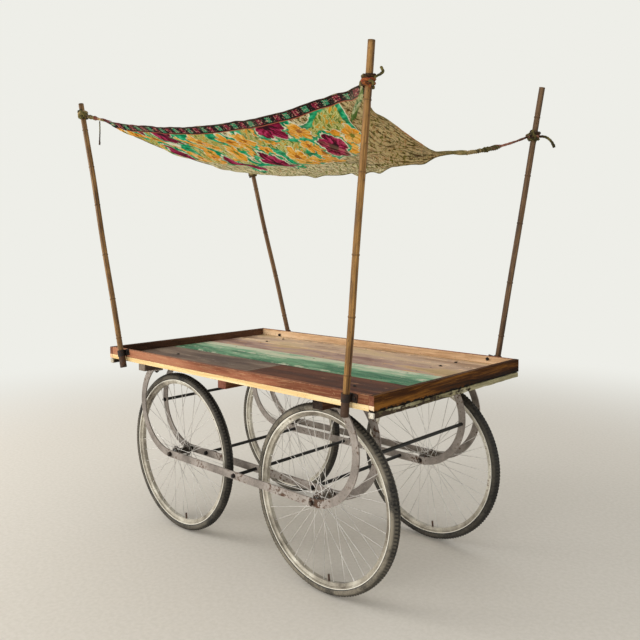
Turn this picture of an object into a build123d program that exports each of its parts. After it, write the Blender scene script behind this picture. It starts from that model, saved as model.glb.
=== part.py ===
"""Market cart: a plank deck with low rails on four flat-bar side frames, four spoked wheels,
and a cloth canopy tied to four leaning bamboo poles.

Millimetres. +Z up, X along the deck, Y across it. The origin is on the floor, under the middle
of the whole cart's box. The front long side is at -Y and the right end at +X.
"""

import os
from math import atan2, cos, pi, radians, sin, sqrt, tan

from build123d import *

os.makedirs("parts", exist_ok=True)

# Clearances
slip = 0.1  # fixed pieces that pass through one another
running = 0.05  # balls against their races
seat_gap = 0.3  # soft pieces against what they lie on
edge_gap = 0.6  # the end of a twisted corner against the cloth

# Deck
deck_length = 1610.0
deck_width = 944.0
rail_top = 812.0
rail_thickness = 22.0
rail_height = 33.0
plank_thickness = 20.0
plank_gap = 1.5
front_plank_width = 314.0
green_plank_width = 226.0
third_plank_width = 160.0
bearer_width = 50.0
bearer_height = 32.0
bearer_setback = 6.0
middle_bearer_x = 22.0
batten_width = 26.0
batten_height = 24.0

# Nails
nail_radius = 1.8
nail_head_radius = 3.6
nail_head_height = 1.2
plank_nail_bite = 25.0
rail_nail_bite = 12.0
nail_margin = 30.0
nail_shift = 12.5
rail_nail_inset = 42.0
rail_nail_step = 20.0

# Wheels
wheel_radius = 355.0
wheel_base = 892.0
wheel_track = 662.0
tyre_width = 40.0
tyre_height = 28.5
tyre_wall = 3.4
tread_thickness = 5.0
tread_width = 25.0
shoulder_drop = 4.2
bead_toe = 5.4
rim_width = 32.4
rim_wall = 1.8
rim_well_depth = 13.8
rim_bed_wall = 2.5
rim_bed_width = 16.0
rim_well_slope = 3.6
rim_flange_height = 6.2
tube_slack = 0.7
valve_radius = 4.0
valve_length = 42.0
valve_turn = 275.0

# Spokes
spoke_count = 36
spoke_radius = 1.15
spoke_sweep = 60.0
spoke_clear = 0.15
outside_lift = 1.25
spoke_head_radius = 2.2
spoke_head_height = 1.2
nipple_radius = 2.0
nipple_length = 11.0
nipple_head_radius = 3.2
nipple_head_height = 2.0
nipple_lift = 0.45
nipple_offset = 2.0
nipple_play = 0.5

# Hubs
hub_width = 110.0
shell_setback = 17.0
hub_end_wall = 3.8
hub_barrel_wall = 3.5
hub_bore_gap = 1.2
flange_radius = 28.0
flange_thickness = 3.2
flange_inset = 10.0
flange_edge = 5.5
flange_root = 4.5

# Axles and bearings
axle_radius = 5.0
ball_radius = 3.175
ball_count = 9
ball_circle_radius = 12.5
race_depth = 8.0
cone_shoulder_radius = 13.0
cone_neck = 3.5
nut_width = 17.0
nut_height = 8.0
washer_radius = 11.0
washer_height = 2.0
thread_past_nut = 4.0

# Side frames
bar_height = 31.0
bar_thickness = 6.0
arm_wrap = 142.9
foot_thickness = 6.0
foot_width = 32.0
foot_bolt_inset = 16.0
foot_bolt_head_radius = 8.0
foot_bolt_head_height = 4.0
foot_bolt_crown_radius = 4.0

# Cross rods
rod_radius = 7.0
axle_rod_inset = 109.0
arm_rod_turn = 86.0

# Pole sockets and clips
socket_wall = 2.0
socket_length = 76.0
socket_floor = 4.0
socket_drop = 3.0
pole_play = 0.5
band_thickness = 1.6
clip_height = 28.0
clip_drop = 12.0
ear_length = 35.0
clip_packing = 3.4
ear_weld = 1.2
ear_bolt_x = 24.0
clip_bolt_radius = 4.0
clip_bolt_head_radius = 7.5
clip_bolt_head_height = 4.0
clip_nut_width = 13.0
clip_nut_height = 6.0

# Bamboo poles: place along the deck, lean towards +X and length
pole_base_radius = 12.0
pole_top_radius = 11.8
pole_bore_radius = 5.0
pole_bore_depth = 40.0
joint_step = 230.0
joint_bulge = 1.3
joint_width = 7.0
front_left_x = -664.0
front_left_lean = -15.1
front_left_length = 1255.0
front_right_x = 700.0
front_right_lean = 5.4
front_right_length = 1185.0
back_right_x = 688.0
back_right_lean = 9.5
back_right_length = 1201.0
back_left_x = -610.0
back_left_lean = -18.0
back_left_length = 1186.0

# Lashings: how far up its pole each one is tied
lashing_radius = 6.2
lashing_gap = 1.2
lashing_turns = 3
front_left_tie = 1200.0
front_right_tie = 1063.0
back_right_tie = 1008.0
back_left_tie = 1000.0

# Canopy: how far its corners lie from the knots that hold them, and how far it sags
canopy_thickness = 3.0
front_left_pull = (157.0, 6.5, -37.0)
front_right_pull = (-45.0, 29.5, 1.5)
back_right_pull = (-23.0, -471.5, -109.5)
back_left_pull = (40.5, -41.5, -3.5)
front_edge_sag = 79.0
rear_edge_sag = 43.0
left_edge_sag = 38.0
right_edge_sag = 84.0
fold_depth = 9.0
fold_count = 6
station_count = 6

# Twisted and gathered corners of the canopy, and the long twist's route from its knot
twist_radius = 8.0
bend_share = 0.45
sample_count = 400
back_right_twist = (
    (-22.6, -469.9, -110.8),
    (-16.8, -371.6, -92.6),
    (-10.8, -261.6, -68.6),
    (-5.8, -141.6, -37.6),
    (-1.8, -28.1, -2.6),
)

# Loose ends of the knots: radius and route, each from its knot
front_left_end_radius = 3.0
front_left_end = (
    (141.8, 5.6, -44.2),
    (143.2, 4.6, -60.7),
    (145.7, 3.6, -84.7),
    (145.2, 2.6, -109.7),
    (142.2, 2.6, -132.7),
    (139.7, 3.6, -151.7),
)
front_right_end_radius = 2.5
front_right_end = (
    (25.9, 0.1, 4.6),
    (39.2, -0.4, 3.6),
    (51.2, -0.9, 7.6),
    (57.7, -1.4, 17.6),
    (56.2, -1.9, 29.6),
)
back_right_end_radius = 4.5
back_right_end = (
    (24.7, -0.1, -4.6),
    (40.2, -0.1, -5.6),
    (56.2, -0.6, -11.6),
    (71.2, -1.1, -23.6),
    (82.2, -1.6, -37.6),
    (89.2, -2.1, -53.6),
)

# Derived radii of the wheels
rim_edge_radius = wheel_radius - tyre_height
bead_seat_radius = rim_edge_radius - rim_flange_height
rim_bed_radius = bead_seat_radius - rim_well_depth

# Derived sizes of the hubs
hub_half = hub_width / 2 - shell_setback
flange_spacing = 2 * (hub_half - flange_inset)
spoke_circle_radius = flange_radius - flange_edge
flange_root_radius = spoke_circle_radius - flange_root
race_radius = ball_circle_radius + ball_radius + running
race_floor = hub_half - race_depth
cone_track_radius = ball_circle_radius - ball_radius - running
hub_end_radius = race_radius + hub_end_wall
hub_bore_radius = cone_track_radius + hub_bore_gap
hub_barrel_radius = hub_bore_radius + hub_barrel_wall

# Derived levels, from the floor up
axle_z = wheel_radius
plank_top = rail_top - rail_height
plank_bottom = plank_top - plank_thickness
bearer_bottom = plank_bottom - bearer_height
plank_nail_length = plank_thickness + plank_nail_bite
rail_nail_length = rail_height + rail_nail_bite
foot_bottom = bearer_bottom - foot_thickness
socket_top = rail_top - socket_drop
socket_z = socket_top - socket_length / 2

# Derived places on the side frames
half_base = wheel_base / 2
half_track = wheel_track / 2
bar_offset = hub_width / 2 + bar_thickness / 2
outer_bar_y = half_track + bar_offset
inner_bar_y = half_track - bar_offset
arm_rise = foot_bottom - axle_z
arm_end = cos(radians(arm_wrap))
arm_radius = (arm_rise - arm_end * bar_height / 2) / (1 - arm_end)
arm_inner_radius = arm_radius - bar_height / 2
arm_outer_radius = arm_radius + bar_height / 2
arm_foot_inner_x = half_base + arm_inner_radius * sin(radians(arm_wrap))
arm_foot_outer_x = half_base + sqrt(arm_outer_radius**2 - (arm_rise - arm_radius) ** 2)
foot_bolt_x = arm_foot_inner_x - foot_bolt_inset
foot_inner_x = foot_bolt_x - bearer_width / 2
axle_rod_x = half_base - axle_rod_inset
arm_rod_x = half_base + arm_radius * sin(radians(arm_rod_turn))
arm_rod_z = axle_z + arm_radius * (1 - cos(radians(arm_rod_turn)))

# Derived places on the long sides
socket_radius = pole_base_radius + pole_play + socket_wall
clip_lift = socket_length / 2 - clip_drop
band_radius = socket_radius + slip + band_thickness
pole_stand_off = band_radius + clip_packing
ear_thickness = clip_packing + ear_weld
pole_y = deck_width / 2 + pole_stand_off
pole_foot = socket_floor - socket_length / 2

# Each pole: name, place along the deck, side, lean, length and height of its lashing
poles = (
    ("front_left", front_left_x, -1, front_left_lean, front_left_length, front_left_tie),
    ("front_right", front_right_x, -1, front_right_lean, front_right_length, front_right_tie),
    ("back_right", back_right_x, 1, back_right_lean, back_right_length, back_right_tie),
    ("back_left", back_left_x, 1, back_left_lean, back_left_length, back_left_tie),
)


def pole_reach(x, lean, length):
    """How far along X the top of a leaning pole lies from the deck's middle."""
    rise = length + pole_foot
    return x + rise * sin(radians(lean))


left_reach = min(pole_reach(x, lean, length) for _, x, _, lean, length, _ in poles)
right_reach = max(pole_reach(x, lean, length) for _, x, _, lean, length, _ in poles)
deck_x = -(left_reach + right_reach) / 2


def spot(x, y, z):
    """A place given from the deck's middle, in the cart's own frame."""
    return (deck_x + x, y, z)


def pole_plane(x, side, lean):
    """The frame of one pole: its origin at the middle of the socket, Z up the pole."""
    tilt = radians(lean)
    return Plane(
        origin=spot(x, side * pole_y, socket_z),
        x_dir=(cos(tilt), 0, -sin(tilt)),
        z_dir=(sin(tilt), 0, cos(tilt)),
    )


def pole_radius(height, length):
    """The pole's radius at a height over its foot."""
    return pole_base_radius + (pole_top_radius - pole_base_radius) * height / length


def knot_spot(x, side, lean, tie):
    """The middle of the lashing on one pole."""
    return pole_plane(x, side, lean).from_local_coords((0, 0, pole_foot + tie))


def save(piece, name):
    """Label a finished piece and write it."""
    piece.label = name
    export_step(piece, f"parts/{name}.step")


def clip_bolt_spot(x, side, lean):
    """Where a clip's bolt enters the outer face of the long rail."""
    frame = pole_plane(x, side, lean)
    point = frame.from_local_coords((-side * ear_bolt_x, 0, clip_lift))
    return (point.X, side * deck_width / 2, point.Z)


clip_bolt_spots = [clip_bolt_spot(x, side, lean) for _, x, side, lean, _, _ in poles]
foot_bolt_spots = [
    spot(x, y, bearer_bottom)
    for x in (-foot_bolt_x, foot_bolt_x)
    for y in (-outer_bar_y, -inner_bar_y, inner_bar_y, outer_bar_y)
]

# Planks: name, from X, to X, from Y and to Y
inside_x = deck_length / 2 - rail_thickness
inside_y = deck_width / 2 - rail_thickness
green_front = -inside_y + front_plank_width
green_back = green_front + green_plank_width
third_back = green_back + third_plank_width
planks = (
    ("front_left_plank", -inside_x, middle_bearer_x, -inside_y, green_front),
    ("front_right_plank", middle_bearer_x, inside_x, -inside_y, green_front),
    ("green_plank", -inside_x, inside_x, green_front, green_back),
    ("third_plank", -inside_x, inside_x, green_back, third_back),
    ("back_plank", -inside_x, inside_x, third_back, inside_y),
)

# Nails: two across every plank at each bearer, and two at each end of a long rail
bearer_places = (-foot_bolt_x, middle_bearer_x, foot_bolt_x)
plank_nail_spots = []
for _, from_x, to_x, from_y, to_y in planks:
    for bearer_x in bearer_places:
        towards_middle = 1 if from_x + to_x > 2 * bearer_x else -1
        nail_x = bearer_x + towards_middle * nail_shift
        if from_x < nail_x < to_x:
            plank_nail_spots.append(spot(nail_x, from_y + nail_margin, plank_top))
            plank_nail_spots.append(spot(nail_x, to_y - nail_margin, plank_top))
rail_nail_spots = [
    spot(end * (deck_length / 2 - rail_nail_inset - step), side * (inside_y + rail_thickness / 2), rail_top)
    for end in (-1, 1)
    for side in (-1, 1)
    for step in (0, rail_nail_step)
]

# Long rails between the end rails, drilled for the clip bolts and the nails
for name, side in (("front_rail", -1), ("back_rail", 1)):
    with BuildPart() as rail:
        with Locations(spot(0, side * (inside_y + rail_thickness / 2), plank_top + rail_height / 2)):
            Box(2 * inside_x, rail_thickness, rail_height)
        with Locations(*[Plane(origin=p, z_dir=(0, -side, 0)) for p in clip_bolt_spots if p[1] * side > 0]):
            Cylinder(clip_bolt_radius + slip, 2 * rail_thickness, mode=Mode.SUBTRACT)
        with Locations(*[p for p in rail_nail_spots if p[1] * side > 0]):
            CounterBoreHole(nail_radius + slip, nail_head_radius + slip, nail_head_height, rail_nail_length)
    save(rail.part, name)

# End rails, which cover the ends of the planks, the long rails and the strips
for name, end in (("left_rail", -1), ("right_rail", 1)):
    with BuildPart() as rail:
        with Locations(spot(end * (inside_x + rail_thickness / 2), 0, (rail_top + plank_bottom) / 2)):
            Box(rail_thickness, deck_width, rail_top - plank_bottom)
    save(rail.part, name)

# Raw wood strips under the long rails
with BuildPart() as edge_strips:
    for side in (-1, 1):
        with Locations(spot(0, side * (inside_y + rail_thickness / 2), plank_bottom + plank_thickness / 2)):
            Box(2 * inside_x, rail_thickness, plank_thickness)
    with Locations(*rail_nail_spots):
        Cylinder(nail_radius + slip, 2 * rail_nail_length, mode=Mode.SUBTRACT)
    with Locations(*[Plane(origin=p, z_dir=(0, 1, 0)) for p in clip_bolt_spots]):
        Cylinder(clip_bolt_radius + slip, 2 * rail_thickness, mode=Mode.SUBTRACT)
save(edge_strips.part, "edge_strips")

# Deck planks
for name, from_x, to_x, from_y, to_y in planks:
    with BuildPart() as plank:
        with Locations(spot((from_x + to_x) / 2, (from_y + to_y) / 2, plank_bottom + plank_thickness / 2)):
            Box(to_x - from_x - plank_gap, to_y - from_y - plank_gap, plank_thickness)
        with Locations(*foot_bolt_spots):
            Cylinder(axle_radius + slip, 4 * bearer_height, mode=Mode.SUBTRACT)
        with Locations(*plank_nail_spots):
            CounterBoreHole(nail_radius + slip, nail_head_radius + slip, nail_head_height, plank_nail_length)
    save(plank.part, name)

# Cross bearers under the planks
for name, bearer_x in zip(("left_bearer", "middle_bearer", "right_bearer"), bearer_places):
    with BuildPart() as bearer:
        with Locations(spot(bearer_x, 0, bearer_bottom + bearer_height / 2)):
            Box(bearer_width, deck_width - 2 * bearer_setback, bearer_height)
        with Locations(*foot_bolt_spots):
            Cylinder(axle_radius + slip, 4 * bearer_height, mode=Mode.SUBTRACT)
        with Locations(*plank_nail_spots):
            Cylinder(nail_radius + slip, 2 * plank_nail_length, mode=Mode.SUBTRACT)
    save(bearer.part, name)

# Battens under the deck's two ends
with BuildPart() as end_battens:
    for end in (-1, 1):
        with Locations(spot(end * (deck_length - batten_width) / 2, 0, plank_bottom - batten_height / 2)):
            Box(batten_width, deck_width, batten_height)
save(end_battens.part, "end_battens")

# Nails, driven flush
with BuildPart() as nails:
    for spots, length in ((plank_nail_spots, plank_nail_length), (rail_nail_spots, rail_nail_length)):
        with Locations(*spots):
            Cylinder(nail_radius, length, align=(Align.CENTER, Align.CENTER, Align.MAX))
            Cylinder(nail_head_radius, nail_head_height, align=(Align.CENTER, Align.CENTER, Align.MAX))
save(nails.part, "nails")

# Side bars: one flat bar each, straight between the axles and curled up to the deck at both ends
side_bars = (
    ("front_outer_bar", -outer_bar_y),
    ("front_inner_bar", -inner_bar_y),
    ("back_inner_bar", inner_bar_y),
    ("back_outer_bar", outer_bar_y),
)
for name, bar_y in side_bars:
    inner = abs(bar_y) < half_track
    middle_hole = rod_radius if inner else axle_radius
    with BuildPart() as bar:
        with BuildSketch(Plane(origin=spot(0, bar_y, axle_z), x_dir=(1, 0, 0), z_dir=(0, -1, 0))):
            with BuildLine():
                low = Line((0, -bar_height / 2), (half_base, -bar_height / 2))
                outer_arc = CenterArc((half_base, arm_radius), arm_outer_radius, -90, arm_wrap)
                inner_arc = CenterArc((half_base, arm_radius), arm_inner_radius, -90, arm_wrap)
                Line(outer_arc @ 1, inner_arc @ 1)
                high = Line((half_base, bar_height / 2), (0, bar_height / 2))
                Line(high @ 1, low @ 0)
            make_face()
            with Locations((half_base, arm_rise)):
                Rectangle(
                    4 * arm_radius,
                    arm_radius,
                    align=(Align.CENTER, Align.MIN),
                    mode=Mode.SUBTRACT,
                )
            mirror(about=Plane.YZ)
            with Locations((-half_base, 0), (half_base, 0)):
                Circle(axle_radius + slip, mode=Mode.SUBTRACT)
            Circle(middle_hole + slip, mode=Mode.SUBTRACT)
            if inner:
                with Locations((-axle_rod_x, 0), (axle_rod_x, 0)):
                    Circle(axle_radius + slip, mode=Mode.SUBTRACT)
                with Locations((-arm_rod_x, arm_rod_z - axle_z), (arm_rod_x, arm_rod_z - axle_z)):
                    Circle(axle_radius + slip, mode=Mode.SUBTRACT)
        extrude(amount=bar_thickness / 2, both=True)
        for end in (-1, 1):
            foot_middle = end * (foot_inner_x + arm_foot_outer_x) / 2
            with Locations(spot(foot_middle, bar_y, foot_bottom + foot_thickness / 2)):
                Box(arm_foot_outer_x - foot_inner_x, foot_width, foot_thickness)
        with Locations(*foot_bolt_spots):
            Cylinder(axle_radius + slip, 4 * foot_thickness, mode=Mode.SUBTRACT)
    save(bar.part, name)

# Cross rods: two at the axles, two at the arms and one through all four bars
inner_face_y = inner_bar_y - bar_thickness / 2
outer_face_y = outer_bar_y - bar_thickness / 2
rod_end = bar_thickness + nut_height + thread_past_nut
rod_places = (
    (-axle_rod_x, axle_z, inner_face_y),
    (axle_rod_x, axle_z, inner_face_y),
    (-arm_rod_x, arm_rod_z, inner_face_y),
    (arm_rod_x, arm_rod_z, inner_face_y),
    (0, axle_z, outer_face_y),
)
with BuildPart() as cross_rods:
    for rod_x, rod_z, face_y in rod_places:
        with Locations(Plane(origin=spot(rod_x, 0, rod_z), z_dir=(0, 1, 0))):
            Cylinder(rod_radius, 2 * face_y)
            Cylinder(axle_radius, 2 * (face_y + rod_end))
save(cross_rods.part, "cross_rods")

# Carriage bolts through the planks, the bearers and the feet of the side bars
with BuildPart() as foot_bolts:
    with Locations(*[(x, y, plank_top) for x, y, _ in foot_bolt_spots]):
        Cylinder(
            axle_radius,
            plank_top - foot_bottom + nut_height + thread_past_nut,
            align=(Align.CENTER, Align.CENTER, Align.MAX),
        )
        Cone(
            foot_bolt_head_radius,
            foot_bolt_crown_radius,
            foot_bolt_head_height,
            align=(Align.CENTER, Align.CENTER, Align.MIN),
        )
save(foot_bolts.part, "foot_bolts")

# Wheels, built round the origin with their axles along Y
wheels = (
    ("front_left", -half_base, -half_track),
    ("front_right", half_base, -half_track),
    ("back_right", half_base, half_track),
    ("back_left", -half_base, half_track),
)
wheel_spots = [spot(x, y, axle_z) for _, x, y in wheels]

# Tyre: beads in the rim, rounded sidewalls and a crowned tread, hollow for the inner tube
bead_y = rim_width / 2 - rim_wall - slip
bead_r = bead_seat_radius + slip
sidewall_r = rim_edge_radius + slip
shoulder_r = wheel_radius - shoulder_drop
belly_r = (sidewall_r + shoulder_r) / 2
cavity_r = wheel_radius - tread_thickness
with BuildPart() as tyre:
    with BuildSketch(Plane.XY):
        with BuildLine():
            Line((bead_r, bead_y - bead_toe), (bead_r, bead_y))
            Line((bead_r, bead_y), (sidewall_r, bead_y))
            ThreePointArc((sidewall_r, bead_y), (belly_r, tyre_width / 2), (shoulder_r, tread_width / 2))
            ThreePointArc((shoulder_r, tread_width / 2), (wheel_radius, 0), (shoulder_r, -tread_width / 2))
            ThreePointArc((shoulder_r, -tread_width / 2), (belly_r, -tyre_width / 2), (sidewall_r, -bead_y))
            Line((sidewall_r, -bead_y), (bead_r, -bead_y))
            Line((bead_r, -bead_y), (bead_r, bead_toe - bead_y))
            Line((bead_r, bead_toe - bead_y), (sidewall_r, tyre_wall - bead_y))
            ThreePointArc(
                (sidewall_r, tyre_wall - bead_y),
                (cavity_r, 0),
                (sidewall_r, bead_y - tyre_wall),
            )
            Line((sidewall_r, bead_y - tyre_wall), (bead_r, bead_y - bead_toe))
        make_face()
    revolve(axis=Axis.Y)

# Inner tube with its valve, which passes through the rim between two spokes
tube_radius = (cavity_r - bead_r) / 2 - tube_slack - tyre_wall / 2
tube_circle = cavity_r - tube_slack - tube_radius
with BuildPart() as inner_tube:
    with BuildSketch(Plane.XY):
        with Locations((tube_circle, 0)):
            Circle(tube_radius)
    revolve(axis=Axis.Y)
    valve_dir = Vector(cos(radians(valve_turn)), 0, sin(radians(valve_turn)))
    with Locations(Plane(origin=valve_dir * tube_circle, z_dir=-valve_dir)):
        Cylinder(
            valve_radius,
            tube_radius + valve_length,
            align=(Align.CENTER, Align.CENTER, Align.MIN),
        )

# Spokes: half run on the inside of their flange and half on the outside, swept opposite ways
flange_holes = spoke_count // 2
hole_step = 360 / flange_holes
inside_run = flange_spacing / 2 - flange_thickness / 2 - spoke_radius - spoke_clear
outside_run = flange_spacing / 2 + flange_thickness / 2 + spoke_radius + outside_lift
spoke_lines = []
for side in (-1, 1):
    for hole in range(flange_holes):
        inside = hole % 2 == 0
        hub_turn = radians(hole * hole_step + (hole_step / 2 if side > 0 else 0))
        rim_turn = hub_turn + radians(spoke_sweep if inside else -spoke_sweep)
        run_y = side * (inside_run if inside else outside_run)
        start = Vector(spoke_circle_radius * cos(hub_turn), run_y, spoke_circle_radius * sin(hub_turn))
        seat = Vector(rim_bed_radius * cos(rim_turn), side * nipple_offset, rim_bed_radius * sin(rim_turn))
        spoke_lines.append((side, inside, start, seat))

with BuildPart() as spokes:
    for side, inside, start, seat in spoke_lines:
        with Locations(Plane(origin=start, z_dir=seat - start)):
            Cylinder(
                spoke_radius,
                (seat - start).length + rim_bed_wall,
                align=(Align.CENTER, Align.CENTER, Align.MIN),
            )
        head_way = side if inside else -side
        far_face = side * flange_spacing / 2 + head_way * flange_thickness / 2
        with Locations(Plane(origin=start, z_dir=(0, head_way, 0))):
            Cylinder(
                spoke_radius,
                abs(far_face - start.Y),
                align=(Align.CENTER, Align.CENTER, Align.MIN),
            )
        with Locations(Plane(origin=(start.X, far_face, start.Z), z_dir=(0, head_way, 0))):
            Cylinder(
                spoke_head_radius,
                spoke_head_height,
                align=(Align.CENTER, Align.CENTER, Align.MIN),
            )
    # Nipples, threaded on the rim ends of the spokes with their heads in the rim's well
    nipple_feet = [
        Plane(origin=seat - (seat - start).normalized() * nipple_length, z_dir=seat - start)
        for _, _, start, seat in spoke_lines
    ]
    nipple_reach = nipple_length + rim_bed_wall + nipple_lift
    with BuildSketch(*nipple_feet):
        Circle(nipple_radius)
        Circle(spoke_radius + running, mode=Mode.SUBTRACT)
    extrude(amount=nipple_reach)
    with BuildSketch(*[foot.offset(nipple_reach) for foot in nipple_feet]):
        Circle(nipple_head_radius)
        Circle(spoke_radius + running, mode=Mode.SUBTRACT)
    extrude(amount=nipple_head_height)

# Rim: a rolled steel channel, drilled for the nipples and the valve
half_rim = rim_width / 2
half_bed = rim_bed_width / 2
rim_outline = (
    (rim_bed_radius, 0),
    (rim_bed_radius, half_bed),
    (bead_seat_radius - rim_bed_wall, half_bed + rim_well_slope),
    (bead_seat_radius - rim_wall, half_rim),
    (rim_edge_radius, half_rim),
    (rim_edge_radius, half_rim - rim_wall),
    (bead_seat_radius, half_rim - rim_wall),
    (bead_seat_radius, half_bed + rim_wall),
    (rim_bed_radius + rim_bed_wall, half_bed - rim_wall),
    (rim_bed_radius + rim_bed_wall, 0),
)
with BuildPart() as rim:
    with BuildSketch(Plane.XY):
        with BuildLine():
            Polyline(*rim_outline, close=True)
        make_face()
        mirror(about=Plane.XZ)
    revolve(axis=Axis.Y)
    bed_holes = [Plane(origin=seat, z_dir=(seat.X, 0, seat.Z)) for _, _, _, seat in spoke_lines]
    with Locations(*bed_holes):
        Cylinder(nipple_radius + nipple_play, 4 * rim_bed_wall, mode=Mode.SUBTRACT)
    with Locations(Plane(origin=valve_dir * rim_bed_radius, z_dir=valve_dir)):
        Cylinder(valve_radius + seat_gap, 4 * rim_bed_wall, mode=Mode.SUBTRACT)

# Hub shell: barrel, two flanges drilled for the spokes, and a ball race in each end
flange_in = flange_spacing / 2 - flange_thickness / 2
flange_out = flange_spacing / 2 + flange_thickness / 2
hub_outline = (
    (hub_bore_radius, 0),
    (hub_bore_radius, race_floor),
    (race_radius, race_floor),
    (race_radius, hub_half),
    (hub_end_radius, hub_half),
    (hub_end_radius, flange_out),
    (flange_radius, flange_out),
    (flange_radius, flange_in),
    (flange_root_radius, flange_in),
    (hub_barrel_radius, flange_in - flange_thickness),
    (hub_barrel_radius, 0),
)
with BuildPart() as hub:
    with BuildSketch(Plane.XY):
        with BuildLine():
            Polyline(*hub_outline, close=True)
        make_face()
        mirror(about=Plane.XZ)
    revolve(axis=Axis.Y)
    for side, _, start, _ in spoke_lines:
        with Locations(Plane(origin=(start.X, side * flange_spacing / 2, start.Z), z_dir=(0, 1, 0))):
            Cylinder(spoke_radius + spoke_clear, 2 * flange_thickness, mode=Mode.SUBTRACT)

# One set of turning pieces for each wheel
for (place, _, _), where in zip(wheels, wheel_spots):
    with BuildPart() as placed_tyre:
        with Locations(where):
            add(tyre.part)
    save(placed_tyre.part, f"{place}_tyre")
    with BuildPart() as placed_tube:
        with Locations(where):
            add(inner_tube.part)
    save(placed_tube.part, f"{place}_inner_tube")
    with BuildPart() as placed_rim:
        with Locations(where):
            add(rim.part)
    save(placed_rim.part, f"{place}_rim")
    with BuildPart() as placed_hub:
        with Locations(where):
            add(hub.part)
    save(placed_hub.part, f"{place}_hub")
    with BuildPart() as placed_spokes:
        with Locations(where):
            add(spokes.part)
    save(placed_spokes.part, f"{place}_spokes")

# Axles, threaded through both bars of their side
axle_half = hub_width / 2 + bar_thickness + washer_height + nut_height + thread_past_nut
with BuildPart() as axles:
    with Locations(*[Plane(origin=p, z_dir=(0, 1, 0)) for p in wheel_spots]):
        Cylinder(axle_radius, 2 * axle_half)
save(axles.part, "axles")

# Cones on the axles, which carry the balls
ball_y = race_floor + ball_radius + running
cone_end = hub_width / 2 - nut_height
cone_face = ball_y + ball_radius + running
cone_outline = (
    (axle_radius, race_floor),
    (cone_track_radius, race_floor),
    (cone_track_radius, cone_face),
    (cone_shoulder_radius, cone_face),
    (cone_shoulder_radius, cone_end - cone_neck),
    (cone_track_radius, cone_end - cone_neck),
    (cone_track_radius, cone_end),
    (axle_radius, cone_end),
)
with BuildPart() as cone:
    with BuildSketch(Plane.XY):
        with BuildLine():
            Polyline(*cone_outline, close=True)
        make_face()
    revolve(axis=Axis.Y)
with BuildPart() as axle_cones:
    with Locations(*wheel_spots):
        add(cone.part)
        add(cone.part, rotation=(180, 0, 0))
save(axle_cones.part, "axle_cones")

# Bearing balls
ball_turns = [radians(360 * k / ball_count) for k in range(ball_count)]
with BuildPart() as bearing_balls:
    for where in wheel_spots:
        ball_spots = [
            Vector(where) + Vector(ball_circle_radius * cos(t), y, ball_circle_radius * sin(t))
            for y in (-ball_y, ball_y)
            for t in ball_turns
        ]
        with Locations(*ball_spots):
            Sphere(ball_radius)
save(bearing_balls.part, "bearing_balls")

# Washers outside the bars, on the axles
washer_y = hub_width / 2 + bar_thickness
with BuildPart() as axle_washers:
    for where in wheel_spots:
        for way in (-1, 1):
            seat = Plane(origin=Vector(where) + Vector(0, way * washer_y, 0), z_dir=(0, way, 0))
            with BuildSketch(seat):
                Circle(washer_radius)
                Circle(axle_radius + slip, mode=Mode.SUBTRACT)
            extrude(amount=washer_height)
save(axle_washers.part, "axle_washers")

# Hex nuts on the axles, the rods and the foot bolts
nut_planes = []
for where in wheel_spots:
    for way in (-1, 1):
        for nut_y in (cone_end, washer_y + washer_height):
            nut_planes.append(Plane(origin=Vector(where) + Vector(0, way * nut_y, 0), z_dir=(0, way, 0)))
for rod_x, rod_z, face_y in rod_places:
    for way in (-1, 1):
        nut_y = way * (face_y + bar_thickness)
        nut_planes.append(Plane(origin=spot(rod_x, nut_y, rod_z), z_dir=(0, way, 0)))
for x, y, _ in foot_bolt_spots:
    nut_planes.append(Plane(origin=(x, y, foot_bottom), z_dir=(0, 0, -1)))
with BuildPart() as hex_nuts:
    with BuildSketch(*nut_planes):
        RegularPolygon(nut_width / 2, 6, major_radius=False)
        Circle(axle_radius + slip / 2, mode=Mode.SUBTRACT)
    extrude(amount=nut_height)
save(hex_nuts.part, "hex_nuts")

# Pole sockets: short tubes, closed at the foot
with BuildPart() as pole_sockets:
    for _, x, side, lean, _, _ in poles:
        frame = pole_plane(x, side, lean)
        with Locations(frame):
            Cylinder(socket_radius, socket_length)
        with Locations(frame.offset(pole_foot)):
            Cylinder(
                pole_base_radius + pole_play,
                socket_length,
                align=(Align.CENTER, Align.CENTER, Align.MIN),
                mode=Mode.SUBTRACT,
            )
save(pole_sockets.part, "pole_sockets")

# Socket clips: a band round the tube and one thick ear bolted to the rail, turned about on the back rail
with BuildPart() as socket_clips:
    for _, x, side, lean, _, _ in poles:
        with BuildSketch(pole_plane(x, side, lean).offset(clip_lift - clip_height / 2)):
            Circle(band_radius)
            with Locations((0, -side * pole_stand_off)):
                Rectangle(
                    ear_length,
                    ear_thickness,
                    align=(Align.MAX, Align.MIN) if side > 0 else (Align.MIN, Align.MAX),
                )
            Circle(socket_radius + slip, mode=Mode.SUBTRACT)
        extrude(amount=clip_height)
    with Locations(*[Plane(origin=p, z_dir=(0, 1, 0)) for p in clip_bolt_spots]):
        Cylinder(clip_bolt_radius + slip, 4 * ear_thickness, mode=Mode.SUBTRACT)
save(socket_clips.part, "socket_clips")

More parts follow.
